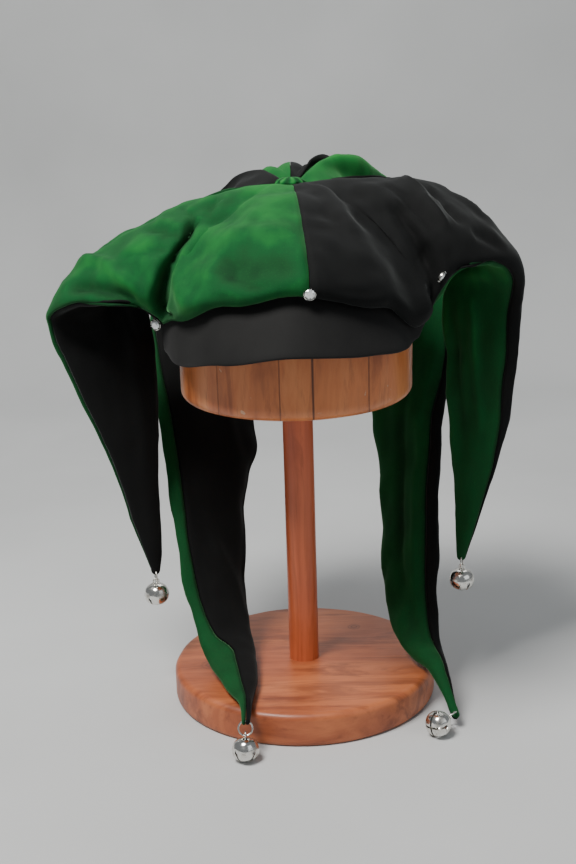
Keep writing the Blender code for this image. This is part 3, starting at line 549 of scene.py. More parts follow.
def crown_sections(start, end, shoulder_start, shoulder_end, start_valley, end_valley, clear):
    """Sections of a panel's crown part, with the share of the way between its ends."""
    made = []
    for step in range(0 if clear.length else 1, 20):
        share = step / 20
        shoulder = shoulder_start + (shoulder_end - shoulder_start) * share
        valley = start_valley * (1 - share) ** 3 + end_valley * share ** 3
        low, high, own = crown_section(start + (end - start) * share, shoulder, valley)
        made.append((share, 0.0 if clear.length else 1.0, section(
            low, high, [own, own], Vector((0, 0, 0)), 0.0, [clear * (1 - share)] * 2)))
    return made


def panel_surface(name):
    """A panel's outside as a grid of points, with the row number of each section.

    Rows count up from 1 along the panel's horn, and along the back horn of a side panel;
    along the front horn of a side panel they count down from 0. Between 0 and 1 is crown.
    """
    place_name, side = name.split("_")
    sign = -1 if side == "left" else 1
    front, back, valley = FRONT_HORN * sign, BACK_HORN * sign, VALLEY_TURN * sign
    if place_name == "side":
        horn = horn_sections("front_" + side, -sign, True)
        made = [(-row, loose, points) for row, loose, points in horn[::-1]]
        made += crown_sections(front, back, front + valley, back - valley, 1, 1, Vector((0, 0, 0)))
        horn = horn_sections("back_" + side, sign, False)
    elif place_name == "front":
        made = crown_sections(FRONT_SEAM, front, FRONT_SEAM, front - valley, 0, 1,
                              Vector((sign, 0, 0)))
        horn = horn_sections("front_" + side, sign, False)
    else:
        made = crown_sections(180 * sign, back, 180 * sign, back + valley, 0, 1, Vector((sign, 0, 0)))
        horn = horn_sections("back_" + side, -sign, True)
    made += [(1 + row, loose, points) for row, loose, points in horn]
    rows = np.array([row for row, _, _ in made])
    grid = np.array([points for _, _, points in made])
    loose = np.array([share for _, share, _ in made])[1:-1, None, None]
    for _ in range(70):
        between = (grid[:-2] + grid[1:-1] * 2 + grid[2:]) / 4
        grid[1:-1, 1:-1] += (between - grid[1:-1])[:, 1:-1] * loose
    return rows, grid


def outward_ways(grid):
    """The direction across the cloth at each point of the grid."""
    ways = np.cross(np.gradient(grid, axis=0), np.gradient(grid, axis=1))
    return ways / np.maximum(np.linalg.norm(ways, axis=2, keepdims=True), 1e-12)


def nearest_on(grid, line):
    """How far each point is from a line of points, and how far along the line it is."""
    best = np.full(grid.shape[:2], 9.0)
    along = np.zeros(grid.shape[:2])
    for index, (first, second) in enumerate(zip(line, line[1:])):
        run = second - first
        share = np.clip(((grid - first) @ run) / max(run @ run, 1e-12), 0, 1)
        far = np.linalg.norm(grid - first - share[..., None] * run, axis=2)
        closer = far < best
        best[closer] = far[closer]
        along[closer] = ((index + share) / (len(line) - 1))[closer]
    return best, along


def fold_lift(rows, grid, folds):
    """How far the folds lift the cloth. Each is a soft ridge or crease along a line."""
    lift = np.zeros(grid.shape[:2])
    for first_row, first_share, last_row, last_share, width, height in folds:
        line = []
        for t in np.linspace(0, 1, 10):
            row = np.interp(first_row + (last_row - first_row) * t, rows, np.arange(len(rows)))
            step = (first_share + (last_share - first_share) * t) * ACROSS
            line.append(grid[int(round(row)), int(round(step))])
        far, along = nearest_on(grid, np.array(line))
        ends = np.clip(along / 0.25, 0, 1) * np.clip((1 - along) / 0.25, 0, 1)
        lift += height * np.exp(-(far / width) ** 2) * ends * (2 - ends)
    return lift


def noise_over(grid, scale, shift, upright=1.0):
    """Noise at each point of the grid, drawn out upwards where upright is small."""
    return np.array([[noise.noise(Vector(point) * scale + Vector((shift, shift, shift)))
                      for point in line] for line in grid * np.array([1, 1, upright])])


# Folds that hang in each panel. Columns: where a fold starts (row, share of the way from
# the lower seam to the upper), where it ends, its width and its height, in metres.
FOLDS = {
    "front_left": [
        (1.85, 0.62, 1.40, 0.38, 0.0030, -0.0085), (1.55, 0.44, 0.78, 0.03, 0.0036, -0.0100),
        (1.20, 0.60, 0.55, 0.08, 0.0070, 0.0050), (2.20, 0.42, 1.40, 0.10, 0.0055, 0.0036),
        (0.05, 0.50, 1.30, 0.56, 0.0090, 0.0026), (0.05, 0.34, 0.60, 0.33, 0.0100, -0.0026),
        (0.60, 0.45, 0.22, 0.17, 0.0024, -0.0016), (0.66, 0.40, 0.32, 0.14, 0.0030, 0.0016),
        (1.75, 0.58, 2.70, 0.74, 0.0024, -0.0018), (1.80, 0.50, 3.10, 0.57, 0.0028, -0.0022),
        (1.85, 0.44, 3.40, 0.40, 0.0028, -0.0018), (1.60, 0.62, 2.00, 0.88, 0.0028, -0.0018),
        (1.90, 0.54, 3.00, 0.64, 0.0028, 0.0014), (4.80, 0.54, 1.90, 0.12, 0.0042, 0.0046),
        (4.60, 0.27, 2.40, 0.05, 0.0062, -0.0078), (3.20, 0.80, 4.40, 0.60, 0.0050, -0.0018),
        (0.30, 0.80, 1.60, 0.72, 0.0060, -0.0012), (5.60, 0.3, 11.0, 0.5, 0.0060, 0.0016),
    ],
    "side_left": [
        (-4.2, 0.85, -5.6, 0.25, 0.0050, 0.0030), (-5.2, 0.55, -10.5, 0.50, 0.0060, 0.0018),
        (-5.4, 0.86, -8.6, 0.66, 0.0018, 0.0012), (0.15, 0.1, 0.3, 0.7, 0.0080, 0.0022),
        (0.6, 0.1, 0.7, 0.7, 0.0080, -0.0020), (6.0, 0.7, 11.0, 0.5, 0.0060, 0.0018),
        (8.0, 0.3, 13.0, 0.4, 0.0050, -0.0014), (10.5, 0.85, 13.0, 0.4, 0.0040, 0.0016),
    ],
    "back_left": [
        (0.3, 0.1, 0.4, 0.8, 0.0090, 0.0020), (0.7, 0.1, 0.8, 0.7, 0.0070, -0.0018),
        (5.0, 0.5, 11.0, 0.6, 0.0070, 0.0020), (11.0, 0.3, 15.5, 0.4, 0.0050, -0.0014),
        (11.2, 0.9, 13.0, 0.3, 0.0035, 0.0014), (12.6, 0.8, 14.6, 0.5, 0.0030, -0.0012),
    ],
    "front_right": [
        (0.90, 0.84, 0.50, 0.52, 0.0065, 0.0026), (0.50, 0.80, 0.30, 0.56, 0.0060, -0.0014),
        (0.98, 0.70, 0.98, 0.40, 0.0050, 0.0030), (1.00, 0.46, 0.86, 0.10, 0.0060, 0.0040),
        (1.75, 0.60, 1.40, 0.30, 0.0045, -0.0060), (1.50, 0.38, 1.12, 0.06, 0.0045, -0.0060),
        (2.65, 0.80, 2.45, 0.34, 0.0036, 0.0050), (3.00, 0.76, 2.95, 0.34, 0.0026, -0.0034),
        (2.15, 0.72, 2.05, 0.36, 0.0040, -0.0030), (0.10, 0.36, 0.60, 0.33, 0.0100, -0.0022),
        (0.15, 0.18, 0.50, 0.20, 0.0030, -0.0012), (3.60, 0.74, 4.60, 0.42, 0.0050, 0.0020),
        (3.30, 0.30, 4.60, 0.20, 0.0050, -0.0020), (5.6, 0.4, 12.0, 0.5, 0.0060, 0.0016),
    ],
    "side_right": [
        (-6.0, 0.32, -9.8, 0.24, 0.0034, 0.0024), (-6.2, 0.52, -10.5, 0.46, 0.0046, -0.0024),
        (-6.0, 0.74, -11.0, 0.66, 0.0036, 0.0018), (-4.8, 0.20, -6.0, 0.70, 0.0050, 0.0020),
        (0.15, 0.1, 0.3, 0.7, 0.0080, 0.0020), (0.6, 0.1, 0.7, 0.7, 0.0080, -0.0022),
        (7.0, 0.88, 13.4, 0.88, 0.0036, 0.0026), (7.6, 0.70, 12.6, 0.72, 0.0046, -0.0030),
        (7.0, 0.30, 12.0, 0.45, 0.0070, 0.0022), (10.0, 0.62, 11.4, 0.15, 0.0040, 0.0020),
        (11.4, 0.70, 12.6, 0.20, 0.0036, -0.0020), (12.6, 0.8, 14.0, 0.3, 0.0034, 0.0016),
    ],
    "back_right": [
        (0.3, 0.1, 0.4, 0.8, 0.0090, 0.0020), (0.7, 0.1, 0.8, 0.7, 0.0070, -0.0018),
        (5.0, 0.5, 12.0, 0.6, 0.0060, 0.0020), (11.0, 0.4, 15.0, 0.5, 0.0050, 0.0012),
    ],
}


def velvet(name, deep_and_shaded, body, lit, tint, sheen):
    """Cotton velvet: a short soft pile, pale where it is seen along the cloth."""
    look = Finish(name, Sheen_Weight=sheen, Sheen_Roughness=0.38, Sheen_Tint=(*tint, 1.0),
                  Specular_IOR_Level=0.18)
    spot = look.place()
    nap = look.node("ShaderNodeAttribute", {"attribute_name": "nap"}, output=2)
    brushed = look.noise(spot, 42.0, 4.0, 0.6, 0.8)
    streaks = look.noise(look.place(scale=(55, 55, 16)), 1.0, 4.0, 0.55)
    pile = look.noise(spot, 1500.0, 2.0, 0.6)
    # Painted light and shade: the colour runs from a shaded colour through the velvet's own colour to
    # a lit one. It is led by the attribute that holds painted shade and light from the folds and the
    # height, and by the pile's own brushed tone.
    lay_and_shade = (nap * 0.80 + brushed * 0.14 + streaks * 0.24 - 0.09).clamp()
    colour = look.ramp(lay_and_shade, (0.16, deep_and_shaded), (0.50, body), (0.88, lit))
    colour = look.blend(look.step(pile, 0.55, 0.8) * 0.25, colour, lit)
    height = pile * 0.7 + look.noise(spot, 420.0, 3.0) * 0.3
    return look.surface(Base_Color=colour, Roughness=(brushed * 0.15 + 0.78).clamp(),
                        Normal=look.bump(height, 0.00035, 0.35))


# Each velvet: a colour for painted shade, its own colour, a colour for painted light, the sheen tint
# and the sheen.
GREEN = velvet("green_velvet", (0.0008, 0.022, 0.006), (0.0026, 0.068, 0.016),
               (0.0220, 0.235, 0.040), (0.36, 0.95, 0.40), 0.20)
BLACK = velvet("black_velvet", (0.0012, 0.0014, 0.0014), (0.0030, 0.0034, 0.0034),
               (0.013, 0.014, 0.014), (0.80, 0.86, 0.85), 0.085)


HELD_BY_SEAM = 0.009
SEAM_ROLL_DEPTH, SEAM_ROLL_WIDTH = 0.0009, 0.0011
SEAM_SHADE_WIDTH = 0.0015
LYING_HEIGHT = BASE_HEIGHT + 0.0006
# Heights above which the cloth's colour is painted lighter, as painted light on the crown's top, and
# below which it is painted darker, as painted shade low on the horns.
PAINTED_LIGHT_ABOVE, PAINTED_SHADE_BELOW = 0.352, 0.310


def sew_panel(name):
    """Cut, fold and sew in one panel, and give it its thickness."""
    side = name.split("_")[1]
    rows, flat = panel_surface(name)
    tall, wide = flat.shape[0] - 1, flat.shape[1] - 1
    crown_row = int(np.argmin(np.abs(rows - 0.5)))
    sense = 1.0
    ways = outward_ways(flat)
    if ways[crown_row, wide // 2, :2] @ flat[crown_row, wide // 2, :2] < 0:
        sense = -1.0
        ways = -ways
    run = np.linalg.norm(np.diff(flat, axis=1), axis=2)
    from_low = np.concatenate([np.zeros((tall + 1, 1)), np.cumsum(run, axis=1)], axis=1)
    to_seam = np.minimum(from_low, from_low[:, -1:] - from_low)
    loose = 1 - np.exp(-(to_seam / HELD_BY_SEAM) ** 2)
    narrow = np.clip(from_low[:, -1:] / 0.06, 0.15, 1.0)
    lift = fold_lift(rows, flat, FOLDS[name])
    creep = noise_over(flat, 27.0, 0.0) * 0.0022 + noise_over(flat, 62.0, 5.0) * 0.0011
    creep += noise_over(flat, 85.0, 9.0, 0.35) * 0.0010
    lift = (lift + creep) * loose * narrow
    seam_roll = -SEAM_ROLL_DEPTH * np.exp(-(to_seam / SEAM_ROLL_WIDTH) ** 2)
    sway = np.stack([noise_over(flat, 33.0, 20.0 * k + 3) for k in range(3)], axis=2) * 0.0009
    pucker = np.stack([noise_over(flat, 120.0, 20.0 * k + 7) for k in range(3)], axis=2) * 0.0004
    cloth = flat + ways * (lift + seam_roll)[..., None] + sway + pucker
    over_base = (np.hypot(cloth[..., 0], cloth[..., 1]) < BASE_RADIUS + 0.002)
    low = over_base & (cloth[..., 2] < LYING_HEIGHT)
    cloth[..., 2][low] = LYING_HEIGHT

    mesh = bmesh.new()
    nap_and_shade_layer = mesh.verts.layers.float.new("nap")
    bmesh.ops.create_grid(mesh, x_segments=tall, y_segments=wide, size=0.5)
    # Painted light and shade for the attribute that the velvet reads. The lift makes creases darker
    # and ridges lighter, and the slope makes one side of a fold lighter and the other darker. The
    # cloth is also lighter near the crown's top, darker low down and darker along the seams. The two
    # noises are the pile's own brushed tone.
    slope = np.gradient(lift, axis=1) / np.maximum(np.gradient(from_low, axis=1), 1e-5)
    shade = 0.50 + np.clip(lift / 0.016, -0.30, 0.08) + np.clip(slope * 0.12, -0.10, 0.10)
    shade += noise_over(flat, 24.0, 40.0) * 0.04
    shade += noise_over(flat, 140.0, 60.0, 0.3) * 0.08
    shade += np.clip((flat[..., 2] - PAINTED_LIGHT_ABOVE) / 0.040, 0, 1) * 0.20
    shade -= np.clip((PAINTED_SHADE_BELOW - flat[..., 2]) / 0.080, 0, 1) * 0.14
    shade -= 0.35 * np.exp(-(to_seam / SEAM_SHADE_WIDTH) ** 2)
    for vert in mesh.verts:
        i, j = round((vert.co.x + 0.5) * tall), round((vert.co.y + 0.5) * wide)
        vert.co = cloth[i, j]
        vert[nap_and_shade_layer] = float(np.clip(shade[i, j], 0, 1))
    if sense < 0:
        bmesh.ops.reverse_faces(mesh, faces=mesh.faces)
    is_green = (name.startswith("side")) == (side == "right")
    piece = shaped("cloth_" + name, mesh, GREEN if is_green else BLACK,
                   "green_velvet" if is_green else "black_velvet", "panel_" + name, angle=80.0)
    wall = piece.modifiers.new("wall", "SOLIDIFY")
    wall.thickness = CLOTH
    wall.offset = -1.0


for name in FOLDS:
    sew_panel(name)


# Gathered knot. The six gores are drawn together at the crown's middle under a small
# puckered rosette of the green velvet, hand stitched down.
knot = bmesh.new()
bmesh.ops.create_uvsphere(knot, u_segments=96, v_segments=40, radius=1.0)
nap_and_shade_layer = knot.verts.layers.float.new("nap")
for vert in knot.verts:
    turn = math.atan2(vert.co.y, vert.co.x)
    height = vert.co.z
    ruffle = math.cos(turn * 9 + 0.8 * math.sin(turn * 2)) * 0.5 + 0.5
    out = 1 + 0.22 * ruffle * (1 - abs(height)) + 0.12 * noise.noise(vert.co * 2.2)
    dimple = math.exp(-(vert.co.xy.length / 0.32) ** 2)
    vert.co = Vector((vert.co.x * out * 0.0092 - 0.0005, vert.co.y * out * 0.0080 - 0.002,
                      CROWN_TOP + 0.0012 + height * 0.0046 - dimple * 0.0022))
    # Painted shade: the rosette is lighter on the crests of its ruffles and darker in their hollows.
    vert[nap_and_shade_layer] = 0.25 + 0.55 * ruffle
shaped("gathered_knot", knot, GREEN, "green_velvet", angle=80.0)


# Peak. Stiff board covered in charcoal felt with a fine rib, cut as a crescent, tucked up
# inside the front of the hat and sewn there. Its edge is turned over and pressed round.
# Columns: azimuth, height of the hinge line, width and slope down in degrees, the height
# and the width as shares of the hat's height and of the peak's reach.
PEAK_REACH = 0.043
PEAK_THICKNESS = 0.0025
PEAK_TUCK = 0.006
PEAK_INSET = 0.0023
PEAK_SWELL = 0.0010
PEAK_CUTS = 120
PEAK = [
    (-72, 0.757, 0.22, 84), (-64, 0.766, 0.55, 80), (-48, 0.790, 0.86, 72),
    (-25, 0.812, 0.96, 62), (0, 0.823, 0.96, 54), (25, 0.815, 0.92, 60),
    (46, 0.792, 0.72, 70), (58, 0.772, 0.46, 77), (66, 0.757, 0.20, 82),
]


def peak_frame(azimuth):
    """The hinge line's height and inset, the ways along and under the peak, and its width."""
    height, width, slope = table_at(PEAK, azimuth)
    slope = math.radians(slope)
    outward = heading(azimuth)
    along = outward * math.cos(slope) - Vector((0, 0, math.sin(slope)))
    under = outward * -math.sin(slope) - Vector((0, 0, math.cos(slope)))
    hinge_height = BASE_HEIGHT + height * SPAN
    below = max(hinge_height - rim_height(azimuth), 0.0) / math.tan(slope)
    return hinge_height, PEAK_INSET + below, along, under, width * PEAK_REACH


def peak_section(azimuth):
    """A cut through the board: up the tuck, out over the top, round the edge and back."""
    hinge_height, inset, along, under, width = peak_frame(azimuth)
    hinge = oval(azimuth, hinge_height - 0.0004, inset)
    points = [oval(azimuth, hinge_height + PEAK_TUCK * share, inset) for share in (1.0, 0.6, 0.2)]
    half = PEAK_THICKNESS / 2
    for step in range(15):
        share = step / 14 * (1 - half / width)
        swell = math.sin(math.pi * share) * PEAK_SWELL
        points.append(hinge + along * width * share - under * swell)
    edge = hinge + along * (width - half) + under * half
    for turn in range(-75, 76, 15):
        angle = math.radians(turn)
        points.append(edge + along * half * math.cos(angle) + under * half * math.sin(angle))
    for step in range(14, -1, -1):
        share = step / 14 * (1 - half / width)
        swell = math.sin(math.pi * share) * PEAK_SWELL
        points.append(hinge + along * width * share + under * (PEAK_THICKNESS - swell))
    points += [oval(azimuth, hinge_height + PEAK_TUCK * share, inset + PEAK_THICKNESS)
               for share in (0.2, 0.6, 1.0)]
    return points


cuts = [peak_section(PEAK[0][0] + (PEAK[-1][0] - PEAK[0][0]) * k / PEAK_CUTS)
        for k in range(PEAK_CUTS + 1)]
rows_round = len(cuts[0])
peak = bmesh.new()
bmesh.ops.create_grid(peak, x_segments=PEAK_CUTS, y_segments=rows_round, size=0.5)
for vert in peak.verts:
    i, j = round((vert.co.x + 0.5) * PEAK_CUTS), round((vert.co.y + 0.5) * rows_round)
    point = cuts[i][j % rows_round]
    vert.co = point + Vector((0, 0, noise.noise(point * 26) * 0.0005))
bmesh.ops.remove_doubles(peak, verts=peak.verts, dist=0.000005)
bmesh.ops.holes_fill(peak, edges=[edge for edge in peak.edges if edge.is_boundary], sides=0)
bmesh.ops.recalc_face_normals(peak, faces=peak.faces)
FELT = Finish("charcoal_felt", Sheen_Weight=0.05, Sheen_Roughness=0.5,
              Sheen_Tint=(0.9, 0.9, 0.92, 1.0), Specular_IOR_Level=0.15)
spot = FELT.place()
rib_place = FELT.place(turn=(0, 0, 0.6))
rib = FELT.node("ShaderNodeTexWave", {"wave_type": "BANDS", "bands_direction": "DIAGONAL"},
                {"Vector": rib_place, "Scale": 520.0, "Distortion": 1.2, "Detail": 2.0}, output=1)
fluff = FELT.noise(spot, 900.0, 4.0, 0.7)
cloud = FELT.noise(spot, 26.0, 4.0)
tone = (cloud * 0.6 + fluff * 0.25 + rib * 0.12).clamp()
FELT.surface(Base_Color=FELT.ramp(tone, (0.28, (0.005, 0.005, 0.0050)),
                                  (0.75, (0.016, 0.016, 0.0155))),
             Roughness=(cloud * 0.16 + 0.66).clamp(),
             Normal=FELT.bump(rib * 0.35 + fluff * 0.65, 0.0003, 0.3))
shaped("peak_board", peak, FELT.made, "charcoal_felt", "peak", angle=60.0)


# Bells and their rings. Four pressed nickel-plated jingle bells, each of two cups crimped
# together round the middle with a cross cut below and a wire loop on top, hung from a
# round wire ring through the end of each horn. Two hang free and two lie on the floor.
BELL_RADIUS = 0.0092
BELL_HEIGHT = 0.0162
BELL_WALL = 0.0008
BELL_SLOT = 0.0014
BELL_HOLE = 0.00135
LOOP_RADIUS = 0.0021
LOOP_WIRE = 0.0005
RING_RADIUS = 0.0048
RING_WIRE = 0.0006
RING_INSET = 0.0038
BELL_DROP = LOOP_RADIUS + BELL_HEIGHT / 2 - 0.0004
# The way to the right and to the back in which a chain runs to a bell on the floor.
LYING = {"back_left": (-0.05, -1.0), "back_right": (-0.75, -0.75)}

NICKEL = Finish("worn_nickel", Metallic=1.0, Specular_IOR_Level=0.5)
spot = NICKEL.place()
tarnish = NICKEL.noise(spot, 160.0, 5.0, 0.65)
rubbed = NICKEL.noise(spot, 480.0, 3.0, 0.5)
dull = NICKEL.step(tarnish, 0.46, 0.70)
NICKEL.surface(
    Base_Color=NICKEL.blend(dull * 0.8, (0.80, 0.79, 0.75), (0.36, 0.33, 0.28)),
    Roughness=(dull * 0.28 + rubbed * 0.14 + 0.10).clamp(),
    Normal=NICKEL.bump(tarnish * 0.7 + rubbed * 0.3, 0.0002, 0.35))


def frame_at(origin, forward, upward):
    """A frame with its Y along forward and its Z near upward."""
    right = forward.cross(upward).normalized()
    above = right.cross(forward).normalized()
    turn = Matrix((right, forward.normalized(), above)).transposed().to_4x4()
    return Matrix.Translation(origin) @ turn


def wire_ring(radius, wire, around, section_steps):
    """A ring of wire about the Y axis."""
    mesh = bmesh.new()
    made = bmesh.ops.create_circle(mesh, cap_ends=False, segments=section_steps, radius=wire,
                                   matrix=Matrix.Translation((radius, 0, 0)))
    bmesh.ops.spin(mesh, geom=made["verts"] + mesh.edges[:], cent=(0, 0, 0), axis=(0, 1, 0),
                   angle=math.tau, steps=around, use_merge=True)
    bmesh.ops.remove_doubles(mesh, verts=mesh.verts, dist=0.000002)
    bmesh.ops.recalc_face_normals(mesh, faces=mesh.faces)
    return mesh


def bell_cup(shrink):
    """Half the bell's shape: squat, fuller at the middle than a ball, with flattened ends."""
    points = []
    for step in range(25):
        angle = math.pi * step / 24 - math.pi / 2
        out = math.copysign(abs(math.cos(angle)) ** 0.80, math.cos(angle))
        up = math.copysign(abs(math.sin(angle)) ** 0.92, math.sin(angle))
        points.append(((BELL_RADIUS - shrink) * max(out, 0.0), (BELL_HEIGHT / 2 - shrink) * up))
    points[0] = (0.0, points[0][1])
    points[-1] = (0.0, points[-1][1])
    return points


def bell_body():
    """The pressed shell about its own middle, with its crimp, cross cut and round ends."""
    shell = turned(bell_cup(0.0), 72)
    for vert in shell.verts:
        turn = math.atan2(vert.co.y, vert.co.x)
        wide = vert.co.xy.length
        crimp = math.exp(-(vert.co.z / 0.0006) ** 2)
        four = math.cos(turn * 4) * 0.035 * math.sin(min(wide / BELL_RADIUS, 1) * math.pi / 2)
        side = 1 + crimp * 0.028 + (four if vert.co.z < 0 else four * 0.5) - 0.028
        vert.co.x *= side
        vert.co.y *= side
        vert.co += vert.normal * noise.noise(vert.co * 420) * 0.00012
    body = put_in("bell_shell", shell)
    slots, holes = [], []
    for index in range(2):
        turn = Matrix.Rotation(math.pi / 4 + index * math.pi / 2, 4, "Z")
        slot = bmesh.new()
        bmesh.ops.create_cube(slot, size=1.0)
        bmesh.ops.scale(slot, verts=slot.verts, vec=(1.74 * BELL_RADIUS, BELL_SLOT, BELL_HEIGHT))
        bmesh.ops.translate(slot, verts=slot.verts, vec=(0, 0, -BELL_HEIGHT * 0.58))
        bmesh.ops.transform(slot, matrix=turn, verts=slot.verts)
        slots.append(slot)
        for end in (-1, 1):
            hole = bmesh.new()
            bmesh.ops.create_cone(
                hole, cap_ends=True, segments=20, radius1=BELL_HOLE, radius2=BELL_HOLE, depth=0.008,
                matrix=turn @ Matrix.Translation((end * 0.0079, 0, -0.0022)) @ Matrix.Rotation(
                    math.pi / 2 - end * 0.5, 4, "Y"))
            holes.append(hole)
    for tool in [*holes, *slots, turned(bell_cup(BELL_WALL), 48)]:
        bmesh.ops.recalc_face_normals(tool, faces=tool.faces)
        taken = body.modifiers.new("cut", "BOOLEAN")
        taken.operation = "DIFFERENCE"
        taken.solver = "EXACT"
        taken.object = put_in("bell_tool", tool)
    graph = bpy.context.evaluated_depsgraph_get()
    made = bmesh.new()
    made.from_mesh(body.evaluated_get(graph).to_mesh())
    for extra in [o for o in bpy.data.objects if o.name.startswith(("bell_tool", "bell_shell"))]:
        bpy.data.objects.remove(extra)
    return made


def horn_end(corner):
    """The middle of a horn's very end, the way it points, and the way across its seams."""
    points = horn_points(corner)
    low, high, (_, _, roll) = horn_edges(points, len(points) - 1)
    before = horn_edges(points, len(points) - 1.5)
    onward = ((low + high) - (before[0] + before[1])).normalized()
    facing = onward.cross(high - low).normalized()
    half = (high - low) / 2
    across = (half.normalized() * -math.sin(math.radians(roll))
              + facing * math.cos(math.radians(roll))).normalized()
    return (low + high) / 2 + onward * half.length * 0.95, onward, across


def lying_way(start, right, back):
    """The way a chain runs from its start to a bell that rests on the floor."""
    length = 2 * RING_RADIUS - 0.0006 + BELL_DROP
    level = Vector((right, back, 0)).normalized()
    down, up = math.radians(89), math.radians(-30)
    for _ in range(30):
        slope = (down + up) / 2
        reach_down = length * math.sin(slope)
        reach_down += math.hypot(BELL_RADIUS * math.cos(slope), BELL_HEIGHT / 2 * math.sin(slope))
        if reach_down > start.z - 0.0001:
            down = slope
        else:
            up = slope
    return level * math.cos(up) - Vector((0, 0, math.sin(up)))


for corner in HORNS:
    end, onward, across = horn_end(corner)
    start = end - onward * RING_INSET
    way = lying_way(start, *LYING[corner]) if corner in LYING else Vector((0, 0, -1))
    across = (across - way * across.dot(way)).normalized()
    ring_centre = start + way * RING_RADIUS
    ring = wire_ring(RING_RADIUS, RING_WIRE, 64, 14)
    bmesh.ops.transform(ring, matrix=frame_at(ring_centre, across.cross(way), -way), verts=ring.verts)
    shaped("wire_ring_" + corner, ring, NICKEL.made, "nickel", "ring_" + corner, angle=70.0)
    hanger = frame_at(ring_centre + way * (RING_RADIUS - 0.0006), across, -way)
    bell = bell_body()
    bmesh.ops.translate(bell, verts=bell.verts, vec=(0, 0, -BELL_DROP))
    loop = wire_ring(LOOP_RADIUS, LOOP_WIRE, 40, 12)
    joint = bpy.data.meshes.new("loop")
    loop.to_mesh(joint)
    loop.free()
    bell.from_mesh(joint)
    bmesh.ops.transform(bell, matrix=hanger, verts=bell.verts)
    shaped("jingle_" + corner, bell, NICKEL.made, "nickel", "bell_" + corner, angle=38.0)


# Stones. Round foil-backed glass stones, cut with a flat table and two rows of facets,
# each held by six small claws in a nickel cup that is sewn to the hat. Columns: its place
# (to the right, to the back, up), the azimuth that it faces and its tilt down in degrees.
STONE_RADIUS = 0.0033
STONE_GIRDLE = 0.0018
STONES = {
    "front": (0.101, -1.069, 0.830, FRONT_SEAM, 6),
    "left": (-0.966, -0.420, 0.751, -30, 5),
    "right": (1.003, -0.536, 0.832, 72, 34),
}
# Rings of corners. Columns: radius as a share, height, how many and the turn, in corners.
FACETS = [
    (0.52, STONE_GIRDLE + 0.0011, 8, 0.0), (0.80, STONE_GIRDLE + 0.00075, 8, 0.5),
    (1.0, STONE_GIRDLE + 0.0001, 16, 0.0), (1.0, STONE_GIRDLE - 0.00005, 16, 0.0),
    (0.45, 0.0011, 8, 0.0),
]
GLASS = Finish("cut_glass", Roughness=0.04, IOR=1.6, Coat_Weight=0.6, Coat_Roughness=0.03,
               Metallic=0.55)
spot = GLASS.place()
fire = GLASS.noise(spot, 700.0, 2.0)
GLASS.surface(Base_Color=GLASS.ramp(fire, (0.38, (0.80, 0.83, 0.86)), (0.62, (1.0, 1.0, 0.98))))

for name, (to_right, to_back, up, azimuth, tilt) in STONES.items():
    tilt = math.radians(tilt)
    outward = heading(azimuth) * math.cos(tilt) - Vector((0, 0, math.sin(tilt)))
    seat = place(to_right, to_back, up) - outward * STONE_GIRDLE
    turn = frame_at(seat, heading(azimuth + 90).cross(outward), outward)
    cup = turned([(0, 0), (STONE_RADIUS, 0), (STONE_RADIUS + 0.0005, 0.0006),
                  (STONE_RADIUS + 0.0007, 0.0013), (STONE_RADIUS + 0.0005, 0.0014),
                  (STONE_RADIUS + 0.0003, 0.0013), (STONE_RADIUS * 0.5, 0.0005), (0, 0.0005)], 48)
    claws = bpy.data.meshes.new("claws")
    for index in range(6):
        claw = bmesh.new()
        bmesh.ops.create_cone(claw, cap_ends=True, segments=10, radius1=0.00042, radius2=0.00030,
                              depth=0.0013)
        bmesh.ops.transform(claw, verts=claw.verts, matrix=Matrix.Rotation(
            math.tau * index / 6 + 0.3, 4, "Z") @ Matrix.Translation(
                (STONE_RADIUS + 0.0003, 0, 0.0019)) @ Matrix.Rotation(-0.45, 4, "Y"))
        claw.to_mesh(claws)
        claw.free()
        cup.from_mesh(claws)
    bmesh.ops.transform(cup, matrix=turn, verts=cup.verts)
    shaped("claw_cup_" + name, cup, NICKEL.made, "nickel", "setting_" + name, angle=40.0)
    stone = bmesh.new()
    for radius, height, count, shift in FACETS:
        for index in range(count):
            angle = math.tau * (index + shift) / count
            stone.verts.new((STONE_RADIUS * radius * math.cos(angle),
                             STONE_RADIUS * radius * math.sin(angle), height))
    bmesh.ops.convex_hull(stone, input=stone.verts)
    bmesh.ops.recalc_face_normals(stone, faces=stone.faces)
    bmesh.ops.transform(stone, matrix=turn, verts=stone.verts)
    shaped("cut_stone_" + name, stone, GLASS.made, "crystal", "stone_" + name, angle=4.0)


# Room. A pale seamless sweep of paper, one large soft light from the upper left in front,
# a weaker one from the right, and a little light from all round.
SWEEP_FRONT, SWEEP_HALF_WIDTH, SWEEP_FLOOR, SWEEP_HEIGHT, SWEEP_BEND = -1.4, 1.6, 2.35, 2.4, 0.35
sweep = bmesh.new()
last = [sweep.edges.new([sweep.verts.new((x, SWEEP_FRONT, 0))
                         for x in (-SWEEP_HALF_WIDTH, SWEEP_HALF_WIDTH)])]
bend = [(SWEEP_BEND * math.sin(math.radians(t)), SWEEP_BEND * (1 - math.cos(math.radians(t))))
        for t in range(0, 91, 10)]
for back, up in [*bend, (SWEEP_BEND, SWEEP_HEIGHT)]:
    made = bmesh.ops.extrude_edge_only(sweep, edges=last)["geom"]
    moved = [item for item in made if isinstance(item, bmesh.types.BMVert)]
    for vert in moved:
        vert.co = (vert.co.x, SWEEP_FRONT + (SWEEP_FLOOR + back), up)
    last = [item for item in made if isinstance(item, bmesh.types.BMEdge)
            and all(vert in moved for vert in item.verts)]
bmesh.ops.recalc_face_normals(sweep, faces=sweep.faces)
PAPER = Finish("backdrop_paper", Specular_IOR_Level=0.2)
mottle = PAPER.noise(PAPER.place(), 3.0, 4.0)
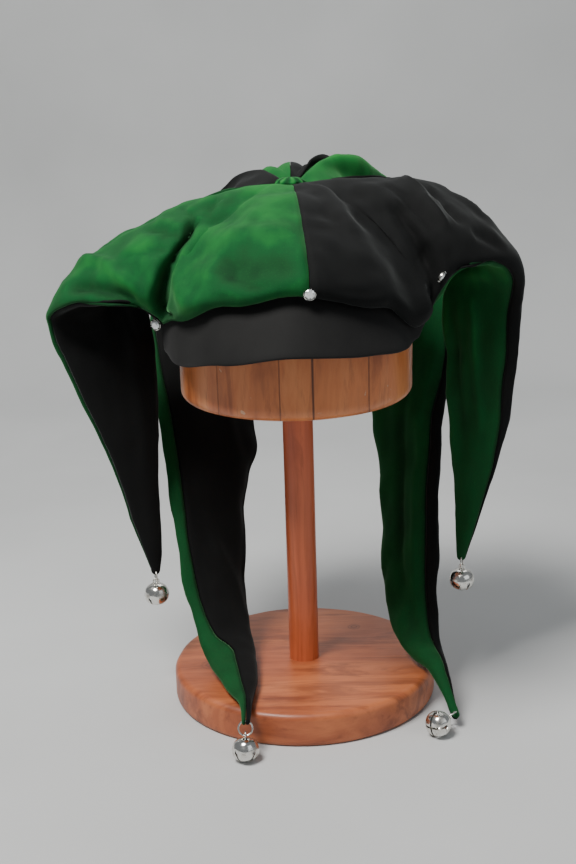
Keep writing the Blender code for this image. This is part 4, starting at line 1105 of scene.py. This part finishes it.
PAPER.surface(Base_Color=PAPER.ramp(mottle, (0.3, (0.50, 0.51, 0.51)), (0.7, (0.57, 0.58, 0.58))),
              Roughness=(mottle * 0.1 + 0.75).clamp())
backdrop = put_in("backdrop", sweep)
backdrop.data.shade_smooth()
backdrop.data.materials.append(PAPER.made)


def soft_light(name, where, aim, size, power, colour):
    """A rectangular lamp at a place, aimed at a point."""
    light = bpy.data.lights.new(name, "AREA")
    light.shape = "RECTANGLE"
    light.size, light.size_y = size
    light.energy = power
    light.color = colour
    lamp = bpy.data.objects.new(name, light)
    lamp.location = where
    lamp.rotation_euler = (Vector(aim) - Vector(where)).to_track_quat("-Z", "Y").to_euler()
    bpy.context.collection.objects.link(lamp)


soft_light("key", (-0.55, -0.60, 1.55), (0, 0, 0.28), (0.55, 0.55), 38, (1.0, 0.98, 0.95))
soft_light("fill", (1.3, -0.9, 0.9), (0, 0, 0.25), (1.2, 1.2), 4.0, (0.93, 0.97, 1.0))
soft_light("back", (0.2, 1.0, 1.5), (0, 0, 0.25), (1.2, 0.8), 7, (1.0, 1.0, 1.0))
world = bpy.data.worlds.new("room")
world.use_nodes = True
world.node_tree.nodes["Background"].inputs["Color"].default_value = (0.62, 0.65, 0.68, 1.0)
world.node_tree.nodes["Background"].inputs["Strength"].default_value = 0.30
bpy.context.scene.world = world

# Camera, a little above the hat and close to it. Its focal length is in pixels of the photo.
CAMERA_PLACE = (0.00075, -0.893, 0.431)
CAMERA_DOWN, CAMERA_TURN, CAMERA_ROLL = 0.2543, -0.0089, -0.0304
FOCAL_PIXELS, PHOTO_HEIGHT_PIXELS = 1279, 864
ahead = Vector((math.sin(CAMERA_TURN) * math.cos(CAMERA_DOWN),
                math.cos(CAMERA_TURN) * math.cos(CAMERA_DOWN), -math.sin(CAMERA_DOWN)))
right = ahead.cross(Vector((0, 0, 1))).normalized()
upward = right.cross(ahead)
turn = (math.cos(CAMERA_ROLL), math.sin(CAMERA_ROLL))
right, upward = right * turn[0] + upward * turn[1], upward * turn[0] - right * turn[1]
lens = bpy.data.cameras.new("camera")
lens.sensor_width = 36.0
lens.lens = 36.0 * FOCAL_PIXELS / PHOTO_HEIGHT_PIXELS
camera = bpy.data.objects.new("camera", lens)
camera.matrix_world = Matrix.Translation(CAMERA_PLACE) @ Matrix(
    (right, upward, -ahead)).transposed().to_4x4()
bpy.context.collection.objects.link(camera)
bpy.context.scene.camera = camera
